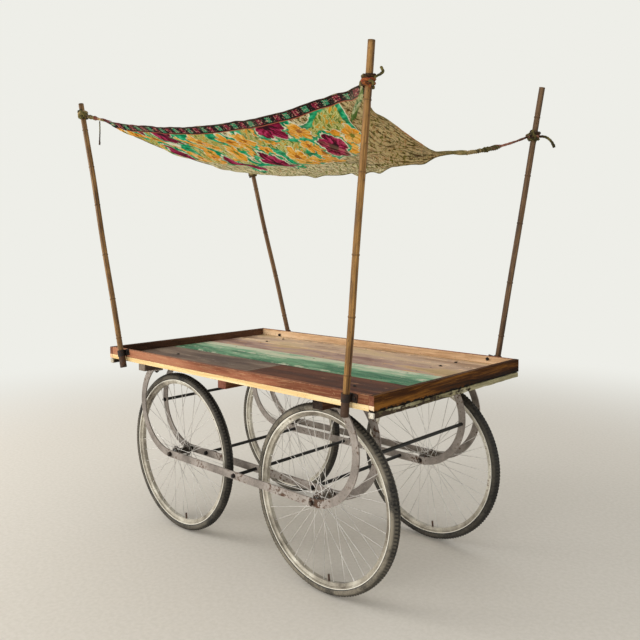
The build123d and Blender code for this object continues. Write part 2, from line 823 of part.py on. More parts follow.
# Clip bolts through the long rails, with their nuts inside the deck
with BuildPart() as clip_bolts:
    for x, y, z in clip_bolt_spots:
        out = 1 if y > 0 else -1
        head = Plane(origin=(x, y + out * ear_thickness, z), z_dir=(0, out, 0))
        nut = Plane(origin=(x, y - out * rail_thickness, z), z_dir=(0, -out, 0))
        shank = ear_thickness + rail_thickness + clip_nut_height + thread_past_nut
        with Locations(head):
            Cylinder(
                clip_bolt_head_radius,
                clip_bolt_head_height,
                align=(Align.CENTER, Align.CENTER, Align.MIN),
            )
            Cylinder(clip_bolt_radius, shank, align=(Align.CENTER, Align.CENTER, Align.MAX))
        with BuildSketch(nut):
            RegularPolygon(clip_nut_width / 2, 6, major_radius=False)
            Circle(clip_bolt_radius + slip / 2, mode=Mode.SUBTRACT)
        extrude(amount=clip_nut_height)
save(clip_bolts.part, "clip_bolts")


def bamboo_outline(length):
    """Half of a pole's section: a slow taper with a raised ring at each joint, open at the top."""
    points = [(0, 0), (pole_base_radius, 0)]
    for joint in range(1, int(length / joint_step) + 1):
        height = joint * joint_step
        radius = pole_radius(height, length)
        points.append((radius, height - joint_width))
        points.append((radius + joint_bulge, height))
        points.append((radius, height + joint_width))
    points.append((pole_top_radius, length))
    points.append((pole_bore_radius, length))
    points.append((pole_bore_radius, length - pole_bore_depth))
    points.append((0, length - pole_bore_depth))
    return points


# Bamboo poles, standing in the sockets
for place, x, side, lean, length, _ in poles:
    stand = pole_plane(x, side, lean).offset(pole_foot)
    section = Plane(origin=stand.origin, x_dir=stand.x_dir, z_dir=-stand.y_dir)
    with BuildPart() as pole:
        with BuildSketch(section):
            with BuildLine():
                Polyline(*bamboo_outline(length), close=True)
            make_face()
        revolve(axis=Axis(stand.origin, stand.z_dir))
    save(pole.part, f"{place}_pole")


# Knots on the poles, and the corners of the cloth that they hold
pulls = (front_left_pull, front_right_pull, back_right_pull, back_left_pull)
knots = [knot_spot(x, side, lean, tie) for _, x, side, lean, _, tie in poles]
corners = [knot + Vector(*pull) for knot, pull in zip(knots, pulls)]
front_left_knot, front_right_knot, back_right_knot, _ = knots
front_left_corner, front_right_corner, rear_right_corner, rear_left_corner = corners


def between(first, last, share):
    """The point that lies a share of the way from one point to another."""
    return first * (1 - share) + last * share


def hang(sag, share):
    """How far a cloth edge hangs below its straight line, a share of the way along it."""
    return 4 * sag * share * (1 - share)


def canopy_section(share):
    """One cut across the canopy, front to rear: its plane, its length and its upper line of folds."""
    front = between(front_left_corner, front_right_corner, share)
    rear = between(rear_left_corner, rear_right_corner, share)
    front_z = front.Z - hang(front_edge_sag, share)
    rear_z = rear.Z - hang(rear_edge_sag, share)
    sag = left_edge_sag + (right_edge_sag - left_edge_sag) * share
    across = Vector(rear.X - front.X, rear.Y - front.Y, 0)
    steps = [step / fold_count for step in range(fold_count + 1)]
    line = [(k * across.length, front_z + (rear_z - front_z) * k - hang(sag, k)) for k in steps]
    plane = Plane(
        origin=(front.X, front.Y, 0),
        x_dir=across,
        z_dir=(across.Y, -across.X, 0),
    )
    return plane, line


# Canopy: one sagging cloth with long folds that run from end to end
with BuildPart() as canopy:
    for station in range(station_count):
        plane, line = canopy_section(station / (station_count - 1))
        with BuildSketch(plane):
            with BuildLine():
                for step in range(fold_count):
                    from_s, from_z = line[step]
                    to_s, to_z = line[step + 1]
                    crest = (from_z + to_z) / 2 + (fold_depth if step % 2 else -fold_depth)
                    middle_s = (from_s + to_s) / 2
                    ThreePointArc(line[step], (middle_s, crest), line[step + 1])
                    ThreePointArc(
                        (from_s, from_z - canopy_thickness),
                        (middle_s, crest - canopy_thickness),
                        (to_s, to_z - canopy_thickness),
                    )
                for end_s, end_z in (line[0], line[-1]):
                    Line((end_s, end_z), (end_s, end_z - canopy_thickness))
            make_face()
    loft()
save(canopy.part, "canopy")


lashing_pitch = 2 * lashing_radius + lashing_gap


def meeting(start, start_way, end, end_way):
    """Where, and in which direction, the two arcs meet that join two directed points."""
    gap = end - start
    ways = start_way + end_way
    turn = 2 * (1 - start_way.dot(end_way))
    reach = (sqrt(gap.dot(ways) ** 2 + turn * gap.dot(gap)) - gap.dot(ways)) / turn
    joint = (start + end + (start_way - end_way) * reach) / 2
    way = (end - end_way * reach - start - start_way * reach).normalized()
    return joint, way


def winding(frame, radius, start_turn, foot):
    """Points and directions of a winding round a pole, one for each quarter turn."""
    marks = []
    for quarter in range(4 * lashing_turns + 1):
        turn = start_turn + quarter * pi / 2
        height = foot + quarter * lashing_pitch / 4
        point = frame.from_local_coords((radius * cos(turn), radius * sin(turn), height))
        ahead = Vector(-radius * sin(turn), radius * cos(turn), lashing_pitch / (2 * pi)).normalized()
        way = frame.x_dir * ahead.X + frame.y_dir * ahead.Y + frame.z_dir * ahead.Z
        marks.append((point, way))
    return marks


# Lashings: rope wound round each pole under its top, with its ends beside the cloth's pull
lashing_height = lashing_turns * lashing_pitch
with BuildPart() as lashings:
    for (place, x, side, lean, length, tie), corner in zip(poles, corners):
        frame = pole_plane(x, side, lean).offset(pole_foot)
        foot = tie - lashing_height / 2
        radius = pole_radius(foot, length) + seat_gap + lashing_radius
        pulled = frame.to_local_coords(corner)
        start_turn = atan2(pulled.Y, pulled.X) - pi / 2
        marks = winding(frame, radius, start_turn, foot)
        with BuildLine() as rope:
            first, first_way = marks[0]
            last, last_way = marks[-1]
            Line(first - first_way * 2 * lashing_radius, first)
            for (start, start_way), (end, end_way) in zip(marks, marks[1:]):
                joint, way = meeting(start, start_way, end, end_way)
                TangentArc(start, joint, tangent=start_way)
                TangentArc(joint, end, tangent=way)
            Line(last, last + last_way * 2 * lashing_radius)
        with BuildSketch(Plane(origin=rope.line @ 0, z_dir=rope.line % 0)):
            Circle(lashing_radius)
        sweep()
        half_turn_samples = round(sample_count * pi * radius / rope.wire().length)
        samples = [rope.wire() @ (k / sample_count) for k in range(sample_count + 1)]
        nearest = min(
            (point - other).length
            for k, point in enumerate(samples)
            for other in samples[k + half_turn_samples :]
        )
        print(f"{place} lashing: least gap to itself {nearest - 2 * lashing_radius:.2f} mm")
save(lashings.part, "lashings")


def pull_to_knot(corner, knot, x, side, lean, length, tie):
    """Where a gathered corner starts at the cloth and ends at the outside of its lashing."""
    frame = pole_plane(x, side, lean)
    start = corner - Vector(0, 0, canopy_thickness / 2)
    way = (knot - start).normalized()
    along_pole = abs(way.dot(frame.z_dir))
    lashing_reach = pole_radius(tie, length) + seat_gap + 2 * lashing_radius
    stop = (lashing_reach + seat_gap + twist_radius * along_pole) / sqrt(1 - along_pole**2)
    return start + way * edge_gap, knot - way * stop


def bend_radii(route):
    """The radius at each corner of a route, as large as its two runs allow."""
    radii = []
    for before, corner, after in zip(route, route[1:], route[2:]):
        run_in = corner - before
        run_out = after - corner
        half_turn = radians(run_in.get_angle(run_out)) / 2
        radii.append(bend_share * min(run_in.length, run_out.length) / tan(half_turn))
    return radii


# Gathered corners: the front right and rear left ones are pulled straight into their lashings
with BuildPart() as gathered_corners:
    for pole, knot, corner in zip(poles, knots, corners):
        if pole[0] not in ("front_right", "back_left"):
            continue
        start, stop = pull_to_knot(corner, knot, *pole[1:])
        with Locations(Plane(origin=start, z_dir=stop - start)):
            Cylinder(twist_radius, (stop - start).length, align=(Align.CENTER, Align.CENTER, Align.MIN))
save(gathered_corners.part, "gathered_corners")

# Front left twist: the corner is wrung into a short straight rope
with BuildPart() as front_left_twist:
    start, stop = pull_to_knot(front_left_corner, front_left_knot, *poles[0][1:])
    with Locations(Plane(origin=start, z_dir=stop - start)):
        Cylinder(twist_radius, (stop - start).length, align=(Align.CENTER, Align.CENTER, Align.MIN))
save(front_left_twist.part, "front_left_twist")

# Back right twist and the loose ends of the knots, each a tube along its route
twists = ((back_right_knot, back_right_twist, twist_radius),)
loose_ends = (
    (front_left_knot, front_left_end, front_left_end_radius),
    (front_right_knot, front_right_end, front_right_end_radius),
    (back_right_knot, back_right_end, back_right_end_radius),
)
for name, group in (("back_right_twist", twists), ("loose_ends", loose_ends)):
    with BuildPart() as cord:
        for knot, route, radius in group:
            points = [knot + Vector(*step) for step in route]
            radii = bend_radii(points)
            with BuildLine() as path:
                FilletPolyline(*points, radius=radii)
            with BuildSketch(Plane(origin=path.line @ 0, z_dir=path.line % 0)):
                Circle(radius)
            sweep()
            length = path.wire().length
            print(f"{name}: length {length:.0f}, bend radii", ", ".join(f"{bend:.0f}" for bend in radii))
            tube_volume = pi * radius**2 * length
            print(f"{name}: section by length {tube_volume:.0f}, node so far {cord.part.volume:.0f}")
    save(cord.part, name)
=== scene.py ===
"""Market cart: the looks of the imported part, in metres, in the part's own frame."""

import math
import random
from collections import namedtuple

import bmesh
import bpy
from mathutils import Matrix, Vector, noise


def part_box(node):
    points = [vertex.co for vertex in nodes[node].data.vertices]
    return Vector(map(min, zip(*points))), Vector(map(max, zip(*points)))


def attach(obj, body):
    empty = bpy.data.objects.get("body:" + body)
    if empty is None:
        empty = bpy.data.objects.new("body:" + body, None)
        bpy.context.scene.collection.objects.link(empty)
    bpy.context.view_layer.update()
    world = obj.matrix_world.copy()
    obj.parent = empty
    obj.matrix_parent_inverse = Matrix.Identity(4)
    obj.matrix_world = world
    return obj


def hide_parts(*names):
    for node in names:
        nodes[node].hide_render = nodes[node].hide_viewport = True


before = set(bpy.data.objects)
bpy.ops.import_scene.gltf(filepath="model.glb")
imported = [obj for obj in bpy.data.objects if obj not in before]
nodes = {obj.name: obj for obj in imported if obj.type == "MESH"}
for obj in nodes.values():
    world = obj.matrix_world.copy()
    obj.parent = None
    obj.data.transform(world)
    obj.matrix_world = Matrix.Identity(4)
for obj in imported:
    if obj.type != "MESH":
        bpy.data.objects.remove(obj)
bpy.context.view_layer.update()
bpy.context.scene.view_settings.view_transform = "Standard"

# Places on the cart, from the deck's middle in millimetres
deck_x = 50.733
wheel_places = {
    "front_left": (-446, -331, 355),
    "front_right": (446, -331, 355),
    "back_right": (446, 331, 355),
    "back_left": (-446, 331, 355),
}
# Each pole: its foot, its lean in degrees, its length and how far up it the knot is tied
Pole = namedtuple("Pole", "foot lean length tie")
poles = {
    "front_left": Pole((-655.14, -491.6, 738.17), lean=-15.1, length=1255, tie=1200),
    "front_right": Pole((696.80, -491.6, 737.15), lean=5.4, length=1185, tie=1063),
    "back_right": Pole((682.39, 491.6, 737.47), lean=9.5, length=1201, tie=1008),
    "back_left": Pole((-599.49, 491.6, 738.66), lean=-18.0, length=1186, tie=1000),
}
knots = {
    "front_left": (-967.75, -491.6, 1896.74),
    "front_right": (796.84, -491.6, 1795.43),
    "back_right": (848.76, 491.6, 1731.64),
    "back_left": (-908.51, 491.6, 1689.72),
}
corners = {
    "front_left": (-810.75, -485.1, 1859.74),
    "front_right": (751.84, -462.1, 1796.93),
    "back_right": (825.76, 20.1, 1622.14),
    "back_left": (-868.01, 450.1, 1686.22),
}


def waver(x, y, z):
    """A random value that changes smoothly from place to place, from -1 to 1."""
    return noise.noise(Vector((x, y, z)))


def spot(x, y, z):
    """A place given from the deck's middle in millimetres, in metres in the part's frame."""
    return Vector(((x + deck_x) / 1000, y / 1000, z / 1000))


def rgb(red, green, blue):
    """A colour as it looks on a screen, from 0 to 255, in the renderer's own scale."""
    linear = [
        c / 255 / 12.92 if c < 11 else ((c / 255 + 0.055) / 1.055) ** 2.4
        for c in (red, green, blue)
    ]
    return (*linear, 1.0)


def ease(value, low, high):
    """From 0 to 1 between two values, soft at both ends."""
    share = min(max((value - low) / (high - low), 0.0), 1.0)
    return share * share * (3 - 2 * share)


def bell(value, middle, width):
    """1 at the middle, dying away on both sides."""
    return math.exp(-(((value - middle) / width) ** 2))


# Camera, where the photograph was taken from
picture_side = 640
focal_pixels = 704.25
shift_pixels = (-36.1, -34.4)
camera_data = bpy.data.cameras.new("camera")
camera_data.sensor_width = 36
camera_data.lens = focal_pixels / picture_side * camera_data.sensor_width
camera_data.shift_x = shift_pixels[0] / picture_side
camera_data.shift_y = shift_pixels[1] / picture_side
camera_data.clip_end = 100
camera = bpy.data.objects.new("camera", camera_data)
bpy.context.scene.collection.objects.link(camera)
bpy.context.scene.camera = camera
azimuth = math.radians(41.35)
elevation = math.radians(3.62)
camera_back = Vector((
    math.sin(azimuth) * math.cos(elevation),
    -math.cos(azimuth) * math.cos(elevation),
    math.sin(elevation),
))
camera.rotation_mode = "QUATERNION"
camera.rotation_quaternion = camera_back.to_track_quat("Z", "Y")
camera.location = spot(2221.3, -2166.8, 1304.2)


class Graph:
    """Short calls for writing a shader tree."""

    def __init__(self, tree):
        self.tree = tree

    def node(self, kind, inputs=None, **settings):
        made = self.tree.nodes.new(kind)
        for key, value in settings.items():
            setattr(made, key, value)
        for key, value in (inputs or {}).items():
            self.feed(made.inputs[key], value)
        return made

    def feed(self, socket, value):
        if isinstance(value, bpy.types.NodeSocket):
            self.tree.links.new(value, socket)
        else:
            socket.default_value = value

    def math(self, operation, first, second=0.0, clamp=False):
        made = self.node("ShaderNodeMath", {0: first, 1: second}, operation=operation, use_clamp=clamp)
        return made.outputs[0]

    def times(self, first, second):
        return self.math("MULTIPLY", first, second)

    def blend(self, first, first_share, second, second_share):
        """Two values added by their shares."""
        return self.math("ADD", self.times(first, first_share), self.times(second, second_share))

    def vector(self, operation, first, second=(0, 0, 0)):
        made = self.node("ShaderNodeVectorMath", {0: first, 1: second}, operation=operation)
        return made.outputs["Value" if operation == "LENGTH" else "Vector"]

    def stretch(self, place, by):
        return self.vector("MULTIPLY", place, by)

    def turn(self, place, angle):
        return self.node("ShaderNodeMapping", {"Vector": place, "Rotation": angle}).outputs[0]

    def split(self, place):
        return self.node("ShaderNodeSeparateXYZ", {0: place}).outputs

    def noise(self, place, scale, detail=4.0, roughness=0.55, distortion=0.0, output="Fac"):
        values = {
            "Vector": place,
            "Scale": scale,
            "Detail": detail,
            "Roughness": roughness,
            "Distortion": distortion,
        }
        return self.node("ShaderNodeTexNoise", values).outputs[output]

    def mix(self, share, first, second, blend="MIX"):
        values = {0: share, 6: first, 7: second}
        return self.node("ShaderNodeMix", values, data_type="RGBA", blend_type=blend).outputs[2]

    def span(self, value, low, high, to_low=0.0, to_high=1.0):
        values = {"Value": value, "From Min": low, "From Max": high, "To Min": to_low, "To Max": to_high}
        return self.node("ShaderNodeMapRange", values, interpolation_type="SMOOTHSTEP").outputs[0]

    def tones(self, value, *stops, steps=False):
        made = self.node("ShaderNodeValToRGB", {0: value})
        ramp = made.color_ramp
        ramp.interpolation = "CONSTANT" if steps else "LINEAR"
        while len(ramp.elements) < len(stops):
            ramp.elements.new(1.0)
        for element, (position, colour) in zip(ramp.elements, stops):
            element.position = position
            element.color = colour
        return made.outputs[0]

    def group(self, tree, **inputs):
        made = self.node("ShaderNodeGroup", node_tree=tree)
        for key, value in inputs.items():
            self.feed(made.inputs[key], value)
        return made.outputs

    def attribute(self, name, output="Fac"):
        return self.node("ShaderNodeAttribute", attribute_name=name).outputs[output]


def effect(name, build, vectors=("Vector",), **values):
    """A shader node group that several finishes share: build returns its outputs by name."""
    tree = bpy.data.node_groups.new(name, "ShaderNodeTree")
    for label in vectors:
        tree.interface.new_socket(label, in_out="INPUT", socket_type="NodeSocketVector")
    for label, value in values.items():
        socket = tree.interface.new_socket(label, in_out="INPUT", socket_type="NodeSocketFloat")
        socket.default_value = value
    graph = Graph(tree)
    results = build(graph, graph.node("NodeGroupInput").outputs)
    for label in results:
        tree.interface.new_socket(label, in_out="OUTPUT", socket_type="NodeSocketFloat")
    graph.node("NodeGroupOutput", results)
    return tree


def build_wood_figure(g, entry):
    """Grain that runs along X: broad streaks, fine fibres and long stains."""
    place = entry["Vector"]
    sway = g.stretch(g.noise(place, 3.0, 2.0, output="Color"), (0, 0.03, 0.03))
    bent = g.vector("ADD", place, sway)
    return {
        "Streak": g.noise(g.stretch(bent, (1.2, 28, 28)), 1.0, 5.0, 0.62),
        "Fibre": g.noise(g.stretch(bent, (8, 340, 340)), 1.0, 2.0),
        "Stain": g.noise(g.stretch(place, (2.0, 9, 9)), 1.0, 6.0, 0.64),
    }


wood_figure = effect("wood_figure", build_wood_figure)


def build_wear_marks(g, entry):
    """Worn patches, thin scratches and small specks."""
    place = entry["Vector"]
    lines = g.noise(g.stretch(g.turn(place, (0.3, 0.2, 0.5)), (8, 300, 300)), 1.0, 1.0)
    others = g.noise(g.stretch(g.turn(place, (0.9, -0.4, -0.7)), (10, 260, 260)), 1.0, 1.0)
    return {
        "Patch": g.noise(place, 19.0, 8.0, 0.66),
        "Scratch": g.math("MAXIMUM", g.span(lines, 0.70, 0.74), g.span(others, 0.71, 0.75)),
        "Speck": g.span(g.noise(place, 190.0, 2.0), 0.66, 0.72),
    }


wear_marks = effect("wear_marks", build_wear_marks)


def build_worn_and_shaded_edges(g, entry):
    """How near a point on a board is to one of its edges, broken up by noise."""
    from_low = g.vector("SUBTRACT", entry["Vector"], entry["Low"])
    from_high = g.vector("SUBTRACT", entry["High"], entry["Vector"])
    x, y, z = g.split(g.vector("MINIMUM", from_low, from_high))
    lesser = g.math("MINIMUM", g.math("MAXIMUM", x, y), z)
    reach = g.math("MAXIMUM", g.math("MINIMUM", x, y), lesser)
    broken = g.noise(entry["Vector"], 45.0, 5.0, 0.65)
    share = g.math("DIVIDE", reach, entry["Width"])
    return {"Edge": g.span(g.blend(share, 1.0, broken, 1.6), 1.25, 0.75)}


worn_and_shaded_edges = effect("worn_and_shaded_edges", build_worn_and_shaded_edges, vectors=("Vector", "Low", "High"), Width=0.004)


def build_flower(g, entry):
    """Scattered flowers on a flat print: how far out each point is, 1 at the petals' rim."""
    cells = g.node(
        "ShaderNodeTexVoronoi",
        {"Vector": entry["Vector"], "Scale": entry["Scale"], "Randomness": 0.7},
        voronoi_dimensions="2D",
    )
    x, y, _ = g.split(g.vector("SUBTRACT", entry["Vector"], cells.outputs["Position"]))
    chance = g.node("ShaderNodeSeparateColor", {0: cells.outputs["Color"]}).outputs
    reach = g.math("SQRT", g.blend(g.times(x, x), 1.0, g.times(y, y), 1.0))
    spin = g.blend(g.math("ARCTAN2", y, x), 1.0, chance[0], 6.28)
    wave = g.math("ABSOLUTE", g.math("COSINE", g.times(spin, g.times(entry["Petals"], 0.5))))
    petal = g.math("POWER", wave, 0.55)
    ragged = g.noise(entry["Vector"], 34.0, 3.0)
    lobe = g.math("ADD", 0.28, g.blend(petal, 0.40, ragged, 0.62))
    size = g.times(entry["Size"], g.span(chance[1], 0.0, 1.0, 0.75, 1.2))
    middle = g.split(cells.outputs["Position"])
    return {
        "Share": g.math("DIVIDE", reach, g.times(lobe, size)),
        "Turn": spin,
        "Notch": petal,
        "Chance": chance[2],
        "Along": middle[0],
        "Across": middle[1],
    }


flower = effect("flower", build_flower, Scale=4.0, Petals=5.0, Size=0.08)


def finish(name, gloss=0.2):
    """A new material: itself, its graph and its shader."""
    material = bpy.data.materials.new(name)
    material.use_nodes = True
    shader = material.node_tree.nodes["Principled BSDF"]
    shader.inputs["Specular IOR Level"].default_value = gloss
    return material, Graph(material.node_tree), shader


def object_place(g):
    """Where a point is on its piece, in the part's frame."""
    return g.node("ShaderNodeTexCoord").outputs["Object"]


def dress(g, shader, colour, roughness, height, distance, strength):
    """Give a shader its colour and roughness, and a height in metres that shows in the light."""
    bump = g.node("ShaderNodeBump", {"Height": height, "Distance": distance, "Strength": strength})
    for key, value in (("Base Color", colour), ("Roughness", roughness), ("Normal", bump.outputs[0])):
        g.feed(shader.inputs[key], value)


along_x = (0.0, 0.0, 0.0)
along_y = (0.0, 0.0, math.pi / 2)
grime = rgb(40, 29, 22)


def wood_tones(g, figure, wood):
    """The dark, middle and pale of a wood, laid along its grain."""
    grain = g.blend(figure["Streak"], 0.75, figure["Fibre"], 0.25)
    return g.tones(grain, (0.37, wood[0]), (0.5, wood[1]), (0.62, wood[2]))


def board_finish(name, low, high, wood, paint=None, along=along_x, bare=0.3, worn=0.004, edge=None,
                 faces=(), fade=None, soiled=0.0):
    """Weathered timber, bare or under old paint that has worn off along the grain and at the edges.

    faces are (limits, tones) for parts of another colour, each limit an axis, a way and a value, fade is
    (axis, start, stop, change) for paint that pales across the board, and soiled is how far up the lower
    edge is black with dirt.
    """
    material, g, shader = finish(name, 0.08)
    place = object_place(g)
    axes = g.split(place)
    figure = g.group(wood_figure, Vector=g.turn(place, along))
    marks = g.group(wear_marks, Vector=place)
    edges = g.group(worn_and_shaded_edges, Vector=place, Low=low, High=high, Width=worn)["Edge"]
    timber = wood_tones(g, figure, wood)
    colour = timber
    if paint:
        depth = figure["Stain"]
        if fade:
            axis, start, stop, change = fade
            depth = g.math("ADD", depth, g.span(axes[axis], start, stop, -change, change))
        coat = g.tones(depth, (0.39, paint[0]), (0.5, paint[1]), (0.61, paint[2]))
        coat = g.mix(g.span(figure["Fibre"], 0.45, 0.7, 0.0, 0.35), coat, timber)
        thin = g.blend(figure["Streak"], 0.55, marks["Patch"], 0.45)
        colour = g.mix(g.span(thin, 0.64 - 0.2 * bare, 0.69 - 0.2 * bare), coat, timber)
    for limits, tones in faces:
        face = 1.0
        for axis, way, limit in limits:
            face = g.times(g.math(way, axes[axis], limit), face)
        colour = g.mix(face, colour, wood_tones(g, figure, tones))
    colour = g.mix(g.span(figure["Stain"], 0.56, 0.72, 0.0, 0.3), colour, grime)
    # Near its edges the board takes its edge tone: worn paint and timber, with painted highlight where that
    # tone is pale, as on the rails, and painted shade where it is dark, as in the seams between planks.
    colour = g.mix(g.times(edges, 0.8), colour, edge or wood[2])
    colour = g.mix(g.times(marks["Scratch"], 0.35), colour, wood[2])
    colour = g.mix(g.times(marks["Speck"], 0.6), colour, grime)
    if soiled:
        ragged = g.blend(axes[2], 1.0, g.noise(place, 48.0, 6.0, 0.7), -soiled * 6.0)
        colour = g.mix(g.span(ragged, low[2] - soiled * 1.9, low[2] - soiled * 2.5), colour, rgb(16, 11, 8))
    roughness = g.span(figure["Stain"], 0.3, 0.7, 0.55, 0.82)
    height = g.blend(figure["Fibre"], 0.6, marks["Patch"], -0.35)
    dress(g, shader, colour, roughness, height, 0.0012, 0.6)
    return material


def metal_finish(name, coat, rust, share, roughness, metallic=0.0, rim=None):
    """Painted or bare steel with rust and grime.

    share is how much of it is rusty, and rim is (centre, radius, colour) for a bright outer lip: worn metal
    with a painted highlight.
    """
    material, g, shader = finish(name, 0.3)
    place = object_place(g)
    marks = g.group(wear_marks, Vector=place)
    cloud = g.noise(place, 7.0, 6.0, 0.65)
    fine = g.noise(place, 85.0, 4.0, 0.6)
    colour = g.tones(cloud, (0.36, coat[0]), (0.52, coat[1]), (0.66, coat[2]))
    spots = g.span(g.blend(cloud, 0.5, fine, 0.5), 1.0 - share, 1.08 - share)
    colour = g.mix(spots, colour, g.tones(fine, (0.35, rust[0]), (0.62, rust[1])))
    colour = g.mix(g.times(marks["Scratch"], 0.4), colour, coat[2])
    colour = g.mix(g.times(marks["Speck"], 0.7), colour, rust[0])
    if rim:
        # The lip: worn bright metal and a painted highlight.
        centre, radius, lip_highlight = rim
        flat = g.stretch(g.vector("SUBTRACT", place, centre), (1, 0, 1))
        lip = g.span(g.vector("LENGTH", flat), radius - 0.0012, radius + 0.0003)
        colour = g.mix(g.times(lip, g.span(fine, 0.3, 0.5, 0.7, 1.0)), colour, lip_highlight)
    if metallic:
        g.feed(shader.inputs["Metallic"], g.times(g.math("SUBTRACT", 1.0, spots), metallic))
    rougher = g.math("ADD", roughness, g.times(spots, 0.3), clamp=True)
    dress(g, shader, colour, rougher, g.blend(fine, 1.0, spots, 0.6), 0.0004, 0.5)
    return material


def rubber_finish(name, cover):
    """Old tyre rubber under road dust, thickest on the side walls."""
    material, g, shader = finish(name)
    place = object_place(g)
    cloud = g.noise(place, 9.0, 7.0, 0.68)
    fine = g.noise(place, 140.0, 3.0)
    settled = g.span(g.blend(cloud, 1.0, fine, 0.35), 0.42, 0.8)
    dusty = g.times(g.times(g.attribute("dust"), cover), settled)
    colour = g.tones(fine, (0.35, rgb(18, 18, 18)), (0.65, rgb(36, 35, 34)))
    colour = g.mix(dusty, colour, rgb(160, 151, 134))
    dress(g, shader, colour, g.span(dusty, 0.0, 0.6, 0.55, 0.9), fine, 0.0004, 0.5)
    return material


def bamboo_finish(name, pale, tan, dark):
    """Dry bamboo: fine streaks up the cane, a little darker at the joints."""
    material, g, shader = finish(name)
    local = g.attribute("local", "Vector")
    streak = g.noise(g.stretch(local, (170, 170, 2.4)), 1.0, 3.0)
    cloud = g.noise(g.stretch(local, (34, 34, 6.5)), 1.0, 6.0, 0.68)
    speck = g.span(g.noise(g.stretch(local, (210, 210, 60)), 1.0, 2.0), 0.64, 0.70)
    colour = g.tones(g.blend(streak, 0.45, cloud, 0.55), (0.38, dark), (0.5, tan), (0.62, pale))
    colour = g.mix(g.times(speck, 0.7), colour, rgb(50, 34, 24))
    uneven_edge = g.times(g.math("SUBTRACT", cloud, 0.5), 0.9)
    ring = g.span(g.math("ADD", g.attribute("joint"), uneven_edge), 0.5, 0.95)
    colour = g.mix(g.times(ring, 0.42), colour, rgb(62, 43, 28))
    roughness = g.span(cloud, 0.35, 0.65, 0.42, 0.7)
    dress(g, shader, colour, roughness, g.blend(streak, 1.0, cloud, 0.5), 0.0007, 0.6)
    return material


def wrung_finish(name, length, *colours):
    """Printed cloth wrung into rope: its colours follow one another along it, in slanting patches."""
    material, g, shader = finish(name, 0.06)
    local = g.attribute("local", "Vector")
    patch = g.noise(g.stretch(local, (70, 70, 36)), 1.0, 3.0, 0.55, 0.6)
    thread = g.noise(g.stretch(local, (420, 420, 130)), 1.0, 2.0)
    along = g.math("DIVIDE", g.split(local)[2], length)
    drift = g.math("ADD", along, g.times(g.math("SUBTRACT", patch, 0.5), 0.9))
    step = 1.0 / len(colours)
    colour = g.tones(drift, *((k * step, colour) for k, colour in enumerate(colours)))
    colour = g.mix(g.span(thread, 0.52, 0.7, 0.0, 0.55), colour, rgb(44, 34, 24))
    colour = g.mix(g.span(patch, 0.56, 0.68, 0.0, 0.4), colour, rgb(192, 172, 128))
    dress(g, shader, colour, 0.9, thread, 0.0008, 0.7)
    shader.inputs["Sheen Weight"].default_value = 0.05
    return material


# Printed cotton: the cream of its outlines, then each part of the print
cream = rgb(244, 238, 208)


def leafy_ground(g, dabs, crossing, u):
    """Short dabs of olive, tan and brown on cream, darkened towards the right by painted shade."""
    ground = g.tones(
        dabs,
        (0.0, rgb(92, 78, 36)),
        (0.40, rgb(136, 136, 62)),
        (0.44, rgb(222, 208, 152)),
        (0.54, rgb(246, 238, 196)),
        (0.6, rgb(206, 172, 122)),
    )
    ground = g.mix(g.span(crossing, 0.56, 0.58), ground, rgb(104, 92, 44))
    ground = g.mix(g.span(crossing, 0.4, 0.38), ground, rgb(244, 234, 192))
    # Painted shade: the ground darkens towards the cloth's right side.
    return g.mix(g.span(u, 1.2, 1.6, 0.0, 0.75), ground, rgb(196, 172, 130), "MULTIPLY")


def green_bands(g, ground, motif, dabs, greens, u, v):
    """Winding green bands, outlined in cream, round meadows of yellow green."""
    inwards = g.blend(g.span(v, 0.42, 0.66, 0.0, 0.34), 1.0, g.span(u, 1.56, 1.68, 0.0, 0.4), 1.0)
    field = g.math("SUBTRACT", g.noise(g.stretch(motif, (4.6, 5.6, 1)), 1.0, 1.5, 0.4), inwards)
    meadow = g.tones(
        dabs,
        (0.36, rgb(92, 116, 36)),
        (0.43, rgb(150, 166, 62)),
        (0.5, rgb(232, 226, 156)),
        (0.56, rgb(166, 172, 70)),
        (0.62, rgb(232, 164, 48)),
    )
    colour = g.mix(g.span(field, 0.385, 0.395), ground, cream)
    colour = g.mix(g.span(field, 0.405, 0.415), colour, greens)
    return g.mix(g.span(field, 0.505, 0.52), colour, meadow)


